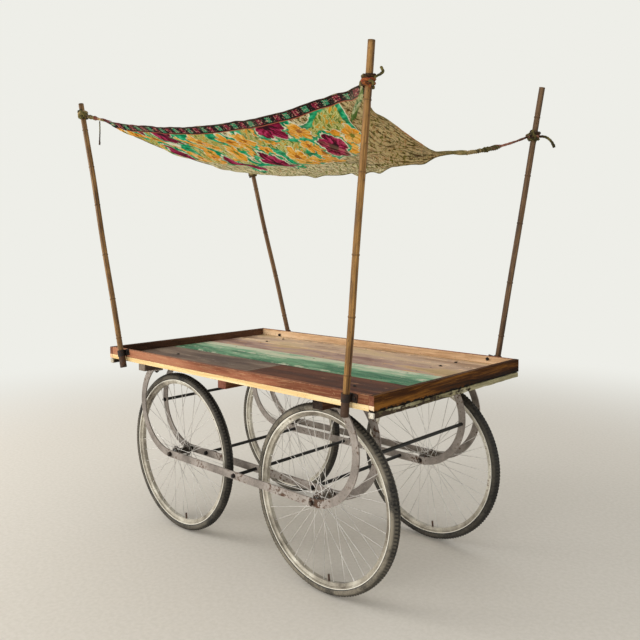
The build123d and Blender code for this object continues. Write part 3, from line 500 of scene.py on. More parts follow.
def scattered_flowers(g, colour, motif, greens):
    """Gold blossoms, then maroon flowers with a green ring, short of the cloth's rear and right sides."""
    last_along = 1.58
    last_across = 0.30
    plum = rgb(52, 8, 26)
    golds = ((0.34, rgb(214, 122, 18)), (0.5, rgb(252, 174, 42)), (0.64, rgb(255, 216, 122)))
    maroons = ((0.38, plum), (0.5, rgb(152, 14, 62)), (0.66, rgb(208, 66, 112)))
    # Each layer: its shift, scale, petals, size, rarity, tones, heart and ring
    layers = (
        ((0.13, 0.31, 0), 8.2, 5.0, 0.050, 0.22, golds, rgb(176, 96, 18), 1.0),
        ((0.57, 0.08, 0), 9.6, 6.0, 0.040, 0.45, golds, rgb(120, 124, 40), 1.0),
        ((0.31, 0.74, 0), 4.3, 5.0, 0.088, 0.34, maroons, plum, 1.28),
    )
    broken = g.span(g.noise(motif, 30.0, 2.0), 0.42, 0.5)
    for shift, scale, petals, size, rarity, stops, heart, ring in layers:
        bloom = g.group(flower, Vector=g.vector("ADD", motif, shift), Scale=scale, Petals=petals, Size=size)
        inside = g.math("LESS_THAN", bloom["Along"], last_along + shift[0])
        inside = g.times(inside, g.math("LESS_THAN", bloom["Across"], last_across + shift[1]))
        shown = g.times(g.math("GREATER_THAN", bloom["Chance"], rarity), inside)
        share = bloom["Share"]
        round_middle = g.node("ShaderNodeCombineXYZ", {
            0: g.times(bloom["Turn"], 3.4),
            1: g.times(share, 1.6),
            2: g.times(bloom["Chance"], 30.0),
        })
        petals_tone = g.tones(g.noise(round_middle.outputs[0], 1.0, 3.0), *stops)
        if ring > 1.0:
            colour = g.mix(g.times(g.span(share, ring + 0.06, ring), shown), colour, greens)
        outline = g.times(g.span(share, 1.15, 1.1), broken)
        colour = g.mix(g.times(outline, shown), colour, cream)
        colour = g.mix(g.times(g.span(share, 1.03, 0.98), shown), colour, petals_tone)
        crease = g.times(g.span(bloom["Notch"], 0.55, 0.35), g.span(share, 0.85, 0.6, 0.0, 0.7))
        colour = g.mix(g.times(crease, shown), colour, heart)
        colour = g.mix(g.times(g.span(share, 0.32, 0.22), shown), colour, heart)
    return colour


def checked_border(g, colour, cloth, u, v):
    """Checks in two colours on a dark band along the front edge."""
    border = 0.056
    checks_per_metre = 19.0
    soft_black = rgb(34, 25, 26)
    count = g.times(u, checks_per_metre)
    check = g.math("FRACT", g.math("DIVIDE", g.math("FLOOR", count), 2.0))
    block = g.tones(check, (0.0, rgb(148, 30, 62)), (0.4, rgb(64, 160, 116)), steps=True)
    speckle = g.noise(g.stretch(cloth, (1.0, 0.7, 1)), 120.0, 2.0)
    block = g.mix(g.span(speckle, 0.56, 0.6), block, rgb(206, 168, 140))
    block = g.mix(g.span(speckle, 0.45, 0.41), block, soft_black)
    within = g.math("ABSOLUTE", g.math("SUBTRACT", g.math("FRACT", count), 0.5))
    between = g.mix(g.span(speckle, 0.57, 0.61), soft_black, rgb(160, 120, 100))
    block = g.mix(g.span(within, 0.25, 0.28), block, between)
    middle = g.math("ABSOLUTE", g.math("SUBTRACT", v, border * 0.46))
    colour = g.mix(g.span(v, border + 0.001, border), colour, rgb(176, 96, 70))
    colour = g.mix(g.span(v, border * 0.9 + 0.001, border * 0.9), colour, soft_black)
    return g.mix(g.span(middle, border * 0.33, border * 0.32), colour, block)


def corner_creases(g, cloth, gathered, u):
    """Creases that fan out from the gathered corner, and how far the cloth is drawn up there."""
    off_corner = g.vector("SUBTRACT", cloth, (*gathered, 0))
    off_u, off_v, _ = g.split(off_corner)
    fan = g.times(g.math("ARCTAN2", off_v, off_u), 36.0)
    ways = g.node("ShaderNodeCombineXYZ", {0: fan, 1: g.times(u, 2.5)})
    drawn_up = g.span(g.vector("LENGTH", off_corner), 0.95, 0.35)
    return g.noise(ways.outputs[0], 1.0, 3.0, 0.62), drawn_up


def print_finish(name, gathered):
    """Printed cotton: a checked border, green fields with flowers, and a leafy ground.

    gathered is the corner, along and across the cloth, that its creases run to.
    """
    material, g, shader = finish(name, 0.06)
    cloth = g.node("ShaderNodeUVMap", uv_map="cloth").outputs[0]
    u, v, _ = g.split(cloth)

    # Print, drawn with an unsteady hand
    wander = g.stretch(g.noise(cloth, 9.0, 2.0, output="Color"), (0.035, 0.035, 0))
    tremble = g.stretch(g.noise(cloth, 42.0, 2.0, output="Color"), (0.016, 0.028, 0))
    drawn = g.vector("ADD", g.vector("ADD", cloth, wander), tremble)
    motif = g.stretch(drawn, (1, 0.56, 0))
    leafy = g.stretch(drawn, (1, 0.42, 0))
    dabs = g.noise(g.stretch(g.turn(leafy, (0, 0, 0.6)), (34, 124, 1)), 1.0, 2.0, 0.5, 0.8)
    crossing = g.noise(g.stretch(g.turn(leafy, (0, 0, -0.8)), (38, 132, 1)), 1.0, 2.0, 0.5, 0.6)
    brushed = g.noise(g.stretch(motif, (26, 60, 1)), 1.0, 3.0)
    greens = g.tones(
        brushed,
        (0.38, rgb(0, 120, 78)),
        (0.52, rgb(10, 172, 112)),
        (0.66, rgb(84, 214, 158)),
    )
    colour = leafy_ground(g, dabs, crossing, u)
    colour = green_bands(g, colour, motif, dabs, greens, u, v)
    colour = scattered_flowers(g, colour, motif, greens)
    colour = checked_border(g, colour, cloth, u, v)

    # Faded in patches, with painted shade in the dips of the creases and painted highlight on their crests
    faded = g.span(g.noise(cloth, 5.0, 4.0), 0.5, 0.75, 0.0, 0.18)
    colour = g.mix(faded, colour, rgb(224, 210, 172))
    creases, drawn_up = corner_creases(g, cloth, gathered, u)
    crease_shade = g.times(g.span(creases, 0.47, 0.4, 0.0, 0.85), drawn_up)
    crease_highlight = g.times(g.span(creases, 0.53, 0.6, 0.0, 0.55), drawn_up)
    colour = g.mix(crease_shade, colour, rgb(74, 52, 30))
    colour = g.mix(crease_highlight, colour, rgb(204, 168, 128))

    # Weave and crumples
    threads = 4200.0
    warp = g.math("SINE", g.times(u, threads))
    weft = g.math("SINE", g.times(v, threads))
    crumple = g.blend(g.noise(cloth, 55.0, 5.0, 0.62), 1.0, g.times(creases, drawn_up), 2.0)
    dress(g, shader, colour, 0.88, g.blend(g.times(warp, weft), 0.1, crumple, 1.0), 0.006, 0.9)
    shader.inputs["Sheen Weight"].default_value = 0.05

    # Thin enough for the daylight above it to show through
    see_through = 0.42
    through = g.node("ShaderNodeBsdfTranslucent", {"Color": colour})
    thin = g.node("ShaderNodeMixShader", {0: see_through, 1: shader.outputs[0], 2: through.outputs[0]})
    g.feed(material.node_tree.nodes["Material Output"].inputs["Surface"], thin.outputs[0])
    return material


def add_piece(name, bm, material, body, slot, *replaced, smooth=True):
    """Make a mesh a piece of the cart."""
    mesh = bpy.data.meshes.new(name)
    bmesh.ops.recalc_face_normals(bm, faces=bm.faces[:])
    bm.to_mesh(mesh)
    bm.free()
    for polygon in mesh.polygons:
        polygon.use_smooth = smooth
    mesh.materials.append(material)
    piece = bpy.data.objects.new(name, mesh)
    bpy.context.scene.collection.objects.link(piece)
    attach(piece, body)
    if replaced:
        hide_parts(*replaced)
    return piece


def ease_edges(bm, edges, width, segments):
    """Round off some edges of a mesh."""
    return bmesh.ops.bevel(
        bm, geom=edges, offset=width, offset_type="OFFSET", segments=segments, profile=0.5,
        affect="EDGES", material=-1,
    )


def draw_tube(path, radius, sides=12, lobes=0, depth=0.0, twist=0.0, joint=None):
    """A ring drawn along a path: it turns as it goes, and its radius follows the length passed."""
    bm = bmesh.new()
    local = bm.verts.layers.float_vector.new("local")
    ringed = bm.verts.layers.float.new("joint")
    bmesh.ops.create_circle(bm, cap_ends=True, segments=sides, radius=1.0)
    lengths = [0.0]
    for before, after in zip(path, path[1:]):
        lengths.append(lengths[-1] + (after - before).length)
    seats = []
    turn = None
    for k, point in enumerate(path):
        ahead = (path[min(k + 1, len(path) - 1)] - path[max(k - 1, 0)]).normalized()
        if turn is None:
            turn = ahead.to_track_quat("Z", "Y")
        else:
            turn = (turn @ Vector((0, 0, 1))).rotation_difference(ahead) @ turn
        seats.append(
            Matrix.Translation(point)
            @ turn.to_matrix().to_4x4()
            @ Matrix.Rotation(twist * lengths[k], 4, "Z")
            @ Matrix.Scale(radius(lengths[k]), 4)
        )
    ring = bm.verts[:]
    edges = bm.edges[:]
    for vertex in ring:
        vertex.co *= 1 + depth * math.cos(lobes * math.atan2(vertex.co.y, vertex.co.x))
    back = Matrix.Identity(4)
    for k, seat in enumerate(seats):
        if k:
            made = bmesh.ops.extrude_edge_only(bm, edges=edges)["geom"]
            ring = [item for item in made if isinstance(item, bmesh.types.BMVert)]
            held = set(ring)
            drawn = [item for item in made if isinstance(item, bmesh.types.BMEdge)]
            edges = [edge for edge in drawn if held.issuperset(edge.verts)]
        for vertex in ring:
            flat = (back @ vertex.co) * radius(lengths[k])
            vertex[local] = (flat.x, flat.y, lengths[k])
            vertex[ringed] = joint(lengths[k]) if joint else 0.0
        bmesh.ops.transform(bm, matrix=seat @ back, verts=ring)
        back = seat.inverted()
    bmesh.ops.contextual_create(bm, geom=edges)
    return bm


def route_points(route):
    """Points read from the smooth spline whose control points are a cord's route."""
    data = bpy.data.curves.new("route", "CURVE")
    data.dimensions = "3D"
    data.resolution_u = 12
    spline = data.splines.new("NURBS")
    spline.points.add(len(route) - 1)
    for point, place in zip(spline.points, route):
        point.co = (*place, 1.0)
    spline.order_u = 3
    spline.use_endpoint_u = True
    holder = bpy.data.objects.new("route", data)
    mesh = bpy.data.meshes.new_from_object(holder)
    points = [vertex.co.copy() for vertex in mesh.vertices]
    bpy.data.objects.remove(holder)
    bpy.data.curves.remove(data)
    bpy.data.meshes.remove(mesh)
    return points


def uneven(base, swing, rate, seed):
    """A radius that swells and shrinks along a piece of wrung cloth."""
    return lambda length: base * (1 + swing * waver(length * rate, seed, 0.5))


def widening(start, stop, reach):
    """A radius that grows from one value to another over a length."""
    return lambda length: start + (stop - start) * ease(length, 0.0, reach)


def swelling(radius, swell, at, width):
    """A radius that swells at one length, as a knot or a gather does."""
    return lambda length: radius + swell * bell(length, at, width)


# Colours of the wrung cloth
tan_cloth = rgb(178, 156, 110)
olive_cloth = rgb(112, 102, 58)
dark_olive = rgb(58, 54, 34)
maroon_cloth = rgb(104, 34, 40)
rust_cloth = rgb(172, 100, 50)
pink_cloth = rgb(164, 106, 88)
dark_brown = rgb(56, 36, 26)


# Cords: the two wrung corners and the three loose ends of the knots
rope_twist = 150.0


def from_knot(place, *steps):
    """A route whose points are given from a knot's middle, in millimetres."""
    return [spot(*(k + s for k, s in zip(knots[place], step))) for step in steps]


def add_cord(name, route, radius, cloth, colours, node, length):
    """A rope of wrung cloth along a route; its radius follows the length passed, and so do its colours."""
    points = route_points(route)
    bm = draw_tube(points, radius, sides=15, lobes=3, depth=0.13, twist=rope_twist)
    piece = add_piece(name, bm, wrung_finish(cloth, length, *colours), "cart", "knot_cloth", node)
    return piece


def front_left_wrung(length):
    """Radius of the front left corner: thin, with two knots in it."""
    lumps = bell(length, 0.078, 0.017) + bell(length, 0.118, 0.016)
    return 0.0056 + 0.0042 * lumps


def back_right_wrung(length):
    """Radius of the rear right corner: thick where it leaves the cloth, knotted twice, then thin."""
    lumps = bell(length, 0.125, 0.014) + bell(length, 0.185, 0.024)
    knobs = 0.0008 * waver(length * 60, 2.0, 0.5)
    return 0.0080 - 0.0032 * ease(length, 0.19, 0.24) + 0.0020 * lumps + knobs


front_left_start = spot(-789.7, -484.2, 1853.5)
front_left_stop = spot(-939.3, -490.3, 1889.3)
add_cord(
    "front_left_wrung_corner",
    [front_left_start, (front_left_start + front_left_stop) / 2, front_left_stop],
    front_left_wrung,
    "front_left_wrung_cloth",
    (olive_cloth, tan_cloth, maroon_cloth, olive_cloth, dark_brown),
    "front_left_twist",
    length=0.154,
)
add_cord(
    "back_right_wrung_corner",
    from_knot(
        "back_right", (-22.6, -469.9, -110.8), (-16.8, -371.6, -92.6), (-10.8, -261.6, -68.6),
        (-5.8, -141.6, -37.6), (-1.8, -28.1, -2.6),
    ),
    back_right_wrung,
    "back_right_wrung_cloth",
    (
        tan_cloth, tan_cloth, dark_olive, olive_cloth, dark_olive,
        pink_cloth, pink_cloth, dark_brown, pink_cloth, dark_brown,
    ),
    "back_right_twist",
    length=0.456,
)
add_cord(
    "front_left_loose_end",
    from_knot(
        "front_left", (141.8, 5.6, -44.2), (143.2, 4.6, -60.7), (145.7, 3.6, -84.7),
        (145.2, 2.6, -109.7), (142.2, 2.6, -132.7), (139.7, 3.6, -151.7),
    ),
    swelling(radius=0.0026, swell=0.0011, at=0.1, width=0.012),
    "front_left_end_cloth",
    (dark_olive, olive_cloth, dark_olive, dark_brown),
    "loose_ends",
    length=0.108,
)
add_cord(
    "front_right_loose_end",
    from_knot(
        "front_right", (25.9, 0.1, 7.0), (41.0, -0.4, 11.4), (57.0, -0.9, 15.2),
        (60.4, -1.4, 23.0), (51.5, -1.9, 33.5),
    ),
    widening(start=0.0034, stop=0.0044, reach=0.035),
    "front_right_end_cloth",
    (olive_cloth, dark_olive, dark_olive, olive_cloth),
    "loose_ends",
    length=0.052,
)
add_cord(
    "back_right_loose_end",
    from_knot(
        "back_right", (24.7, -0.1, -4.6), (40.2, -0.1, -5.6), (56.2, -0.6, -11.6),
        (71.2, -1.1, -23.6), (82.2, -1.6, -37.6), (89.2, -2.1, -53.6),
    ),
    swelling(radius=0.0050, swell=0.0010, at=0.078, width=0.012),
    "back_right_end_cloth",
    (dark_brown, dark_olive, olive_cloth, dark_olive),
    "loose_ends",
    length=0.087,
)

# Canopy: one cloth that sags between its four corners
cloth_width = 0.95
cloth_length = 1.75
cloth_columns = 220
cloth_rows = 120
front_sag = 79
rear_sag = 43
left_sag = 38
right_sag = 72
corner_drop = 92
side_bulge = 46
ripple_depth = 9
wide_crumple = 4.4
small_crumple = 2.2
hem_wander = 5
hem_sway = 9
# Dips of the rear hem: where along it each is, how wide and how deep
hem_droops = ((0.62, 0.024, 22), (0.70, 0.020, 13), (0.86, 0.022, 14), (0.40, 0.030, 8))
# Pleats at each corner: how many to a full turn, how deep, and over what lengths they rise and die
corner_pleats = {
    "front_left": (16, 7, 40, 330),
    "front_right": (15, 6, 40, 190),
    "back_right": (28, 13, 45, 260),
    "back_left": (15, 8, 40, 220),
}
# The rear right corner is drawn together along a line, over a length and down to a share of its width
gather_line = Vector((-0.72, -0.69, 0.0)).normalized()
gather_reach = 200
gather_least = 0.1


def hang(sag, share):
    """How far a cloth held at both ends hangs down, at a share of its length."""
    return 4 * sag * share * (1 - share)


def pleats(place, corner, count, depth, near, far):
    """Folds that fan out from a corner and die away from it."""
    off = place - Vector(corner)
    reach = math.hypot(off.x, off.y)
    fan = math.atan2(off.y, off.x)
    return depth * math.sin(count * fan) * math.exp(-reach / far) * (1 - math.exp(-reach / near))


def draw_in(place, corner, line, reach, least):
    """Gather the cloth towards the line along which its corner is pulled."""
    off = place - Vector(corner)
    along = max(off.dot(line), 0.0)
    side = off - line * off.dot(line)
    return place - side * (1 - least) * (1 - ease(along, 0.0, reach))


def cloth_place(u, k):
    """Where a point of the cloth hangs, u along the front edge and k from front to rear."""
    front = Vector(corners["front_left"]).lerp(Vector(corners["front_right"]), u)
    rear = Vector(corners["back_left"]).lerp(Vector(corners["back_right"]), u)
    front.z -= hang(front_sag, u)
    rear.z -= hang(rear_sag, u)
    place = front.lerp(rear, k)
    place.z -= hang(left_sag + (right_sag - left_sag) * u, k)
    place.z -= corner_drop * ease(u, 0.93, 1.0) * (1 - math.exp(-k / 0.012)) * math.exp(-k / 0.25)
    place.x += side_bulge * ease(u, 0.9, 1.0) * (1 - math.exp(-k / 0.03)) * (1 - k)
    inner = ease(u, 1.0, 0.95) * ease(u, 0.0, 0.03)
    wander = waver(u * 5, k * 2, 3.0)
    ripple = math.sin(6 * math.pi * (k + 0.03 * wander)) * (0.85 + 0.35 * wander)
    place.z -= ripple_depth * ripple * inner
    folds = sum(pleats(place, corners[name], *pleat) for name, pleat in corner_pleats.items())
    crumples = wide_crumple * waver(u * 11, k * 7, 7.0)
    crumples += small_crumple * waver(u * 34, k * 21, 1.0)
    place.z += (folds + crumples) * inner
    middle = ease(u, 0.0, 0.15) * ease(u, 1.0, 0.9)
    droop = hem_wander * waver(u * 8.5, 5.0, 2.0)
    droop += sum(depth * bell(u, at, width) for at, width, depth in hem_droops)
    place.z -= droop * ease(k, 0.82, 1.0) * middle
    place.y += hem_sway * waver(u * 7, 9.0, 4.0) * ease(k, 0.85, 1.0) * middle
    place = draw_in(place, corners["back_right"], gather_line, gather_reach, gather_least)
    return spot(*place)


canopy_bm = bmesh.new()
bmesh.ops.create_grid(canopy_bm, x_segments=cloth_columns, y_segments=cloth_rows, size=0.5)
shares = {vertex: (vertex.co.x + 0.5, vertex.co.y + 0.5) for vertex in canopy_bm.verts}
columns = {}
for vertex, (u, k) in shares.items():
    vertex.co = cloth_place(u, k)
    columns.setdefault(round(u * cloth_columns), []).append(vertex)
across_cloth = {}
for column in columns.values():
    column.sort(key=lambda vertex: shares[vertex][1])
    passed = [0.0]
    for before, after in zip(column, column[1:]):
        passed.append(passed[-1] + (after.co - before.co).length)
    for vertex, length in zip(column, passed):
        across_cloth[vertex] = length / passed[-1] * cloth_width
cloth_map = canopy_bm.loops.layers.uv.new("cloth")
for face in canopy_bm.faces:
    for loop in face.loops:
        loop[cloth_map].uv = (shares[loop.vert][0] * cloth_length, across_cloth[loop.vert])
printed_cotton = print_finish("printed_cotton", (cloth_length, cloth_width))
canopy = add_piece("canopy_cloth", canopy_bm, printed_cotton, "cart", "canopy_cloth", "canopy")

# Rolled hems on the cloth's four edges
hem_radius = 0.0021
border_hem = wrung_finish(
    "border_hem", 0.4,
    dark_brown, maroon_cloth, dark_brown, dark_olive, maroon_cloth, dark_brown,
)
leafy_hem = wrung_finish(
    "leafy_hem", 0.5,
    tan_cloth, olive_cloth, tan_cloth, rust_cloth, tan_cloth, olive_cloth,
)
hem_runs = {
    "front_hem": ([(k / cloth_columns, 0.0) for k in range(cloth_columns + 1)], border_hem),
    "rear_hem": ([(k / cloth_columns, 1.0) for k in range(cloth_columns + 1)], leafy_hem),
    "left_hem": ([(0.0, k / cloth_rows) for k in range(cloth_rows + 1)], border_hem),
    "right_hem": ([(1.0, k / cloth_rows) for k in range(cloth_rows + 1)], leafy_hem),
}
for number, (name, (run, material)) in enumerate(hem_runs.items()):
    path = [cloth_place(u, k) for u, k in run]
    bm = draw_tube(path, uneven(hem_radius, 0.3, 40.0, number), sides=8, twist=60.0)
    add_piece(name, bm, material, "cart", "canopy_cloth", "canopy")

# Rolled tips: where the two pulled corners of the cloth turn into rope
tip_steps = 16
# Each tip: the way into the cloth, how far it reaches, its first and last radius, and its finish
rolled_tips = {
    "front_left": (Vector((0.972, 0.1, -0.2)).normalized(), 0.075, 0.0010, 0.0058, border_hem),
    "back_right": (gather_line, 0.130, 0.00375, 0.0082, leafy_hem),
}
for place, (inwards, reach, start, stop, material) in rolled_tips.items():
    tip = spot(*corners[place])
    path = [tip + inwards * reach * (1 - k / tip_steps) for k in range(tip_steps + 1)]
    bm = draw_tube(path, widening(start, stop, reach), sides=18, lobes=4, depth=0.14, twist=30.0)
    add_piece(f"{place}_rolled_tip", bm, material, "cart", "canopy_cloth", "canopy")


# Knots: cloth wound round each pole, with a hitch over the winding and an overhand knot beside it
def pole_axes(place):
    """A pole's foot, and the ways to its right, to its rear and up along it."""
    tilt = math.radians(poles[place].lean)
    right = Vector((math.cos(tilt), 0, -math.sin(tilt)))
    up = Vector((math.sin(tilt), 0, math.cos(tilt)))
    return spot(*poles[place].foot), right, up.cross(right), up


def overhand(middle, first, second, third, size):
    """A loop that is tied like an overhand knot."""
    steps = 48
    path = []
    for k in range(steps + 1):
        turn = 2 * math.pi * k / steps
        x = math.sin(turn) + 2 * math.sin(2 * turn)
        y = math.cos(turn) - 2 * math.cos(2 * turn)
        path.append(middle + (first * x + second * y - third * 1.3 * math.sin(3 * turn)) * size / 3)
    return path


def add_rope(name, path, radius, seed, material, *replaced):
    """A length of wrung cloth in a knot."""
    bm = draw_tube(path, uneven(radius, 0.18, 34.0, seed), sides=12, lobes=3, depth=0.12, twist=rope_twist)
    return add_piece(name, bm, material, "cart", "knot_cloth", *replaced)


knot_turns = 3
knot_pitch = 0.0118
turn_steps = 24
winding_reach = 0.0180
winding_wander = 0.0012
winding_radius = 0.0060
hitch_reach = 0.0165
hitch_rise = 0.0110
hitch_height = 0.042
hitch_slant = 0.5
hitch_radius = 0.0054
overhand_size = 0.0105
overhand_radius = 0.0046
wound_length = 0.36
knot_colours = {
    "front_left": (olive_cloth, dark_olive, olive_cloth, dark_brown, tan_cloth, dark_olive),
    "front_right": (olive_cloth, dark_brown, rust_cloth, maroon_cloth, rust_cloth, olive_cloth, dark_brown),
    "back_right": (dark_olive, olive_cloth, dark_brown, pink_cloth, dark_olive, dark_brown),
    "back_left": (dark_brown, olive_cloth, dark_brown, dark_olive, olive_cloth),
}
# Where each overhand knot sits: to the right, to the rear and up from the middle of the winding
overhand_seats = {
    "front_left": (0.016, -0.012, -0.012),
    "front_right": (0.019, -0.011, -0.010),
    "back_right": (-0.018, -0.012, -0.004),
    "back_left": (0.016, -0.012, -0.004),
}
for place, pole in poles.items():
    foot, right, across, up = pole_axes(place)
    tied = foot + up * pole.tie / 1000
    pull = Vector(corners[place]) - Vector(knots[place])
    pulled = math.atan2(pull.dot(across), pull.dot(right))
    wound_cloth = wrung_finish(f"{place}_wound_cloth", wound_length, *knot_colours[place])
    winding = []
    for k in range(turn_steps * knot_turns + 1):
        angle = pulled - math.pi / 2 + k * 2 * math.pi / turn_steps
        reach = winding_reach + winding_wander * waver(k * 0.4, pole.tie, 0)
        height = knot_pitch * (k / turn_steps - knot_turns / 2)
        outwards = right * math.cos(angle) + across * math.sin(angle)
        winding.append(tied + outwards * reach + up * height)
    add_rope(f"{place}_knot_winding", winding, winding_radius, pole.tie, wound_cloth, "lashings")
    hitch = []
    beside = hitch_slant if "right" in place else -hitch_slant
    for k in range(turn_steps + 1):
        share = k / turn_steps
        angle = pulled + hitch_slant * math.cos(math.pi * share) + beside
        reach = hitch_reach + hitch_rise * math.sin(math.pi * share)
        outwards = right * math.cos(angle) + across * math.sin(angle)
        hitch.append(tied + outwards * reach + up * (share - 0.5) * hitch_height)
    add_rope(f"{place}_knot_hitch", hitch, hitch_radius, pole.tie + 1, wound_cloth, "lashings")
    to_right, to_rear, to_top = overhand_seats[place]
    seat = tied + right * to_right + across * to_rear + up * to_top
    first = (right - across * 0.4).normalized()
    lump = overhand(seat, first, up, first.cross(up), overhand_size)
    add_rope(f"{place}_overhand_knot", lump, overhand_radius, pole.tie + 2, wound_cloth, "lashings")

# Gathered corners: the front right and rear left corners of the cloth, drawn together into their knots
gather_overlap = 0.03
gather_steps = 15
gathered_radius = 0.0050
gathered_swell = 0.0062
for place in ("front_right", "back_left"):
    cloth_end = spot(*corners[place])
    knot_end = spot(*knots[place])
    inside = (cloth_end - knot_end).normalized()
    start = cloth_end + inside * gather_overlap
    path = [start.lerp(knot_end, k / gather_steps) for k in range(gather_steps - 1)]
    reach = (path[-1] - path[0]).length
    radius = swelling(gathered_radius, gathered_swell, at=reach * 0.45, width=reach * 0.4)
    bm = draw_tube(path, radius, sides=20, lobes=5, depth=0.16, twist=40.0)
    gathered_cloth = wrung_finish(
        f"{place}_gathered_cloth", reach,
        tan_cloth, olive_cloth, tan_cloth, olive_cloth,
    )
    add_piece(f"{place}_gathered_corner", bm, gathered_cloth, "cart", "knot_cloth", "gathered_corners")

# Strip of cloth that hangs from the front right knot
strip_width = 0.042
strip_length = 0.112
strip_fold = 4.0
strip_crumple = 2
strip_knot = knots["front_right"]
# Millimetres from the knot to the strip's top, from there to its foot, and across it per metre of width
strip_seat = (-16, -14, -16)
strip_fall = (-44, 12, -96)
strip_across = (800, 0, 420)
strip_bm = bmesh.new()
bmesh.ops.create_grid(strip_bm, x_segments=16, y_segments=28, size=0.5)
strip_place = strip_bm.verts.layers.float_vector.new("local")
for vertex in strip_bm.verts:
    side, down = vertex.co.x, vertex.co.y + 0.5
    vertex[strip_place] = (side * strip_width, 0.0, down * strip_length)
    width = strip_width * (0.25 + 0.75 * ease(down, 0.0, 0.5)) * (1 - 0.4 * ease(down, 0.7, 1.0))
    fold = strip_fold * math.cos(5 * math.pi * side) * (0.4 + 0.6 * down)
    fold += strip_crumple * waver(side * 3, down * 5, 2)
    x = strip_seat[0] + strip_fall[0] * ease(down, 0.0, 1.1) + side * width * strip_across[0]
    y = strip_seat[1] + strip_fall[1] * down + side * width * strip_across[1] + fold
    z = strip_seat[2] + strip_fall[2] * down + side * width * strip_across[2]
    vertex.co = spot(strip_knot[0] + x, strip_knot[1] + y, strip_knot[2] + z)
strip_cloth = wrung_finish(
    "strip_cloth", strip_length,
    rgb(206, 200, 160), rgb(96, 124, 62), rgb(196, 194, 146),
    rgb(58, 108, 60), rgb(204, 200, 160), rgb(84, 112, 52),
)
strip = add_piece("front_right_hanging_strip", strip_bm, strip_cloth, "cart", "canopy_cloth")

# Bamboo poles, slightly crooked, with uneven joints
bamboo_tones = {
    "front_left": (rgb(170, 133, 84), rgb(126, 94, 57), rgb(74, 52, 33)),
    "front_right": (rgb(174, 131, 76), rgb(130, 95, 52), rgb(74, 50, 30)),
    "back_right": (rgb(130, 102, 74), rgb(92, 70, 50), rgb(56, 41, 30)),
    "back_left": (rgb(148, 115, 78), rgb(110, 82, 55), rgb(70, 50, 34)),
}
near_joint = (-0.011, -0.007, -0.004, -0.0015, 0, 0.0015, 0.004, 0.007, 0.011)
cane_radius = 0.012
cane_taper = 0.0002
cane_step = 0.03
cane_sway = 0.0035
joint_swell = 0.0013
joint_waist = 0.0006
first_joint = 0.13
first_joint_spread = 0.06
joint_gap = 0.17
joint_gap_spread = 0.1
cane_seed = 31
cane_wall = 0.006
bore_depth = 0.03


def from_joint(step, joints):
    """How far a point up the cane is from the nearest joint."""
    return min((abs(step - joint) for joint in joints), default=1.0)


def jointed(joints, length):
    """The radius up a cane: it tapers, swells at each joint and is a little waisted beside it."""

    def radius(step):
        near = from_joint(step, joints)
        ring = joint_swell * bell(near, 0.0, 0.0028) - joint_waist * bell(near, 0.0065, 0.003)
        return cane_radius - cane_taper * step / length + ring

    return radius


def joint_marks(joints):
    """How dark the cane is at its joints, up its length."""
    return lambda step: bell(from_joint(step, joints), 0.0, 0.0042)


for number, (place, pole) in enumerate(poles.items()):
    foot, right, across, up = pole_axes(place)
    cane_length = pole.length / 1000
    draw = random.Random(cane_seed + number)
    joints = []
    height = first_joint + first_joint_spread * draw.random()
    while height < cane_length - bore_depth:
        joints.append(height)
        height += joint_gap + joint_gap_spread * draw.random()
    steps = {round(k * cane_step, 4) for k in range(int(cane_length / cane_step) + 1)} | {cane_length}
    steps |= {round(joint + step, 4) for joint in joints for step in near_joint}
    path = []
    for step in sorted(step for step in steps if 0 <= step <= cane_length):
        free = ease(step, 0.09, 0.4)
        sway = cane_sway * free * waver(step * 2.3, number, 0.2)
        swing = cane_sway * free * waver(step * 2.1, number, 5.2)
        path.append(foot + up * step + right * sway + across * swing)
    bm = draw_tube(path, jointed(joints, cane_length), sides=20, joint=joint_marks(joints))
    ends = [face for face in bm.faces if len(face.verts) > 4]
    top = max(ends, key=lambda face: face.calc_center_median().z)
    bmesh.ops.inset_region(bm, faces=[top], thickness=cane_wall, depth=0.0)
    bmesh.ops.translate(bm, verts=top.verts[:], vec=up * -bore_depth)
    bamboo = bamboo_finish(f"{place}_bamboo", *bamboo_tones[place])
    add_piece(f"{place}_cane", bm, bamboo, "cart", "bamboo", f"{place}_pole")


# Boards of the deck
def add_board(name, low, high, material, slot, node, bevel=0.0018, wobble=0.0006, step=0.04, seed=0.0):
    """A sawn board with eased, slightly uneven edges."""
    bm = bmesh.new()
    size = high - low
    middle = (low + high) / 2
    bmesh.ops.create_cube(bm, size=1.0, matrix=Matrix.Translation(middle) @ Matrix.Diagonal((*size, 1)))
    ease_edges(bm, bm.edges[:], bevel, 2)
    axis = max(range(3), key=lambda k: size[k])
    normal = Vector([1.0 if k == axis else 0.0 for k in range(3)])
    count = int(size[axis] / step)
    for k in range(1, count):
        point = low + normal * (size[axis] * k / count)
        everything = bm.verts[:] + bm.edges[:] + bm.faces[:]
        bmesh.ops.bisect_plane(bm, geom=everything, plane_co=point, plane_no=normal)
    for vertex in bm.verts:
        for k in range(3):
            if k == axis:
                continue
            inward = middle[k] - vertex.co[k]
            wave = 0.5 + 0.5 * noise.noise(vertex.co * 21 + Vector((seed, k * 3.0, 0)))
            vertex.co[k] += math.copysign(min(wobble * wave, abs(inward)), inward)
    return add_piece(name, bm, material, "cart", slot, node, smooth=False)


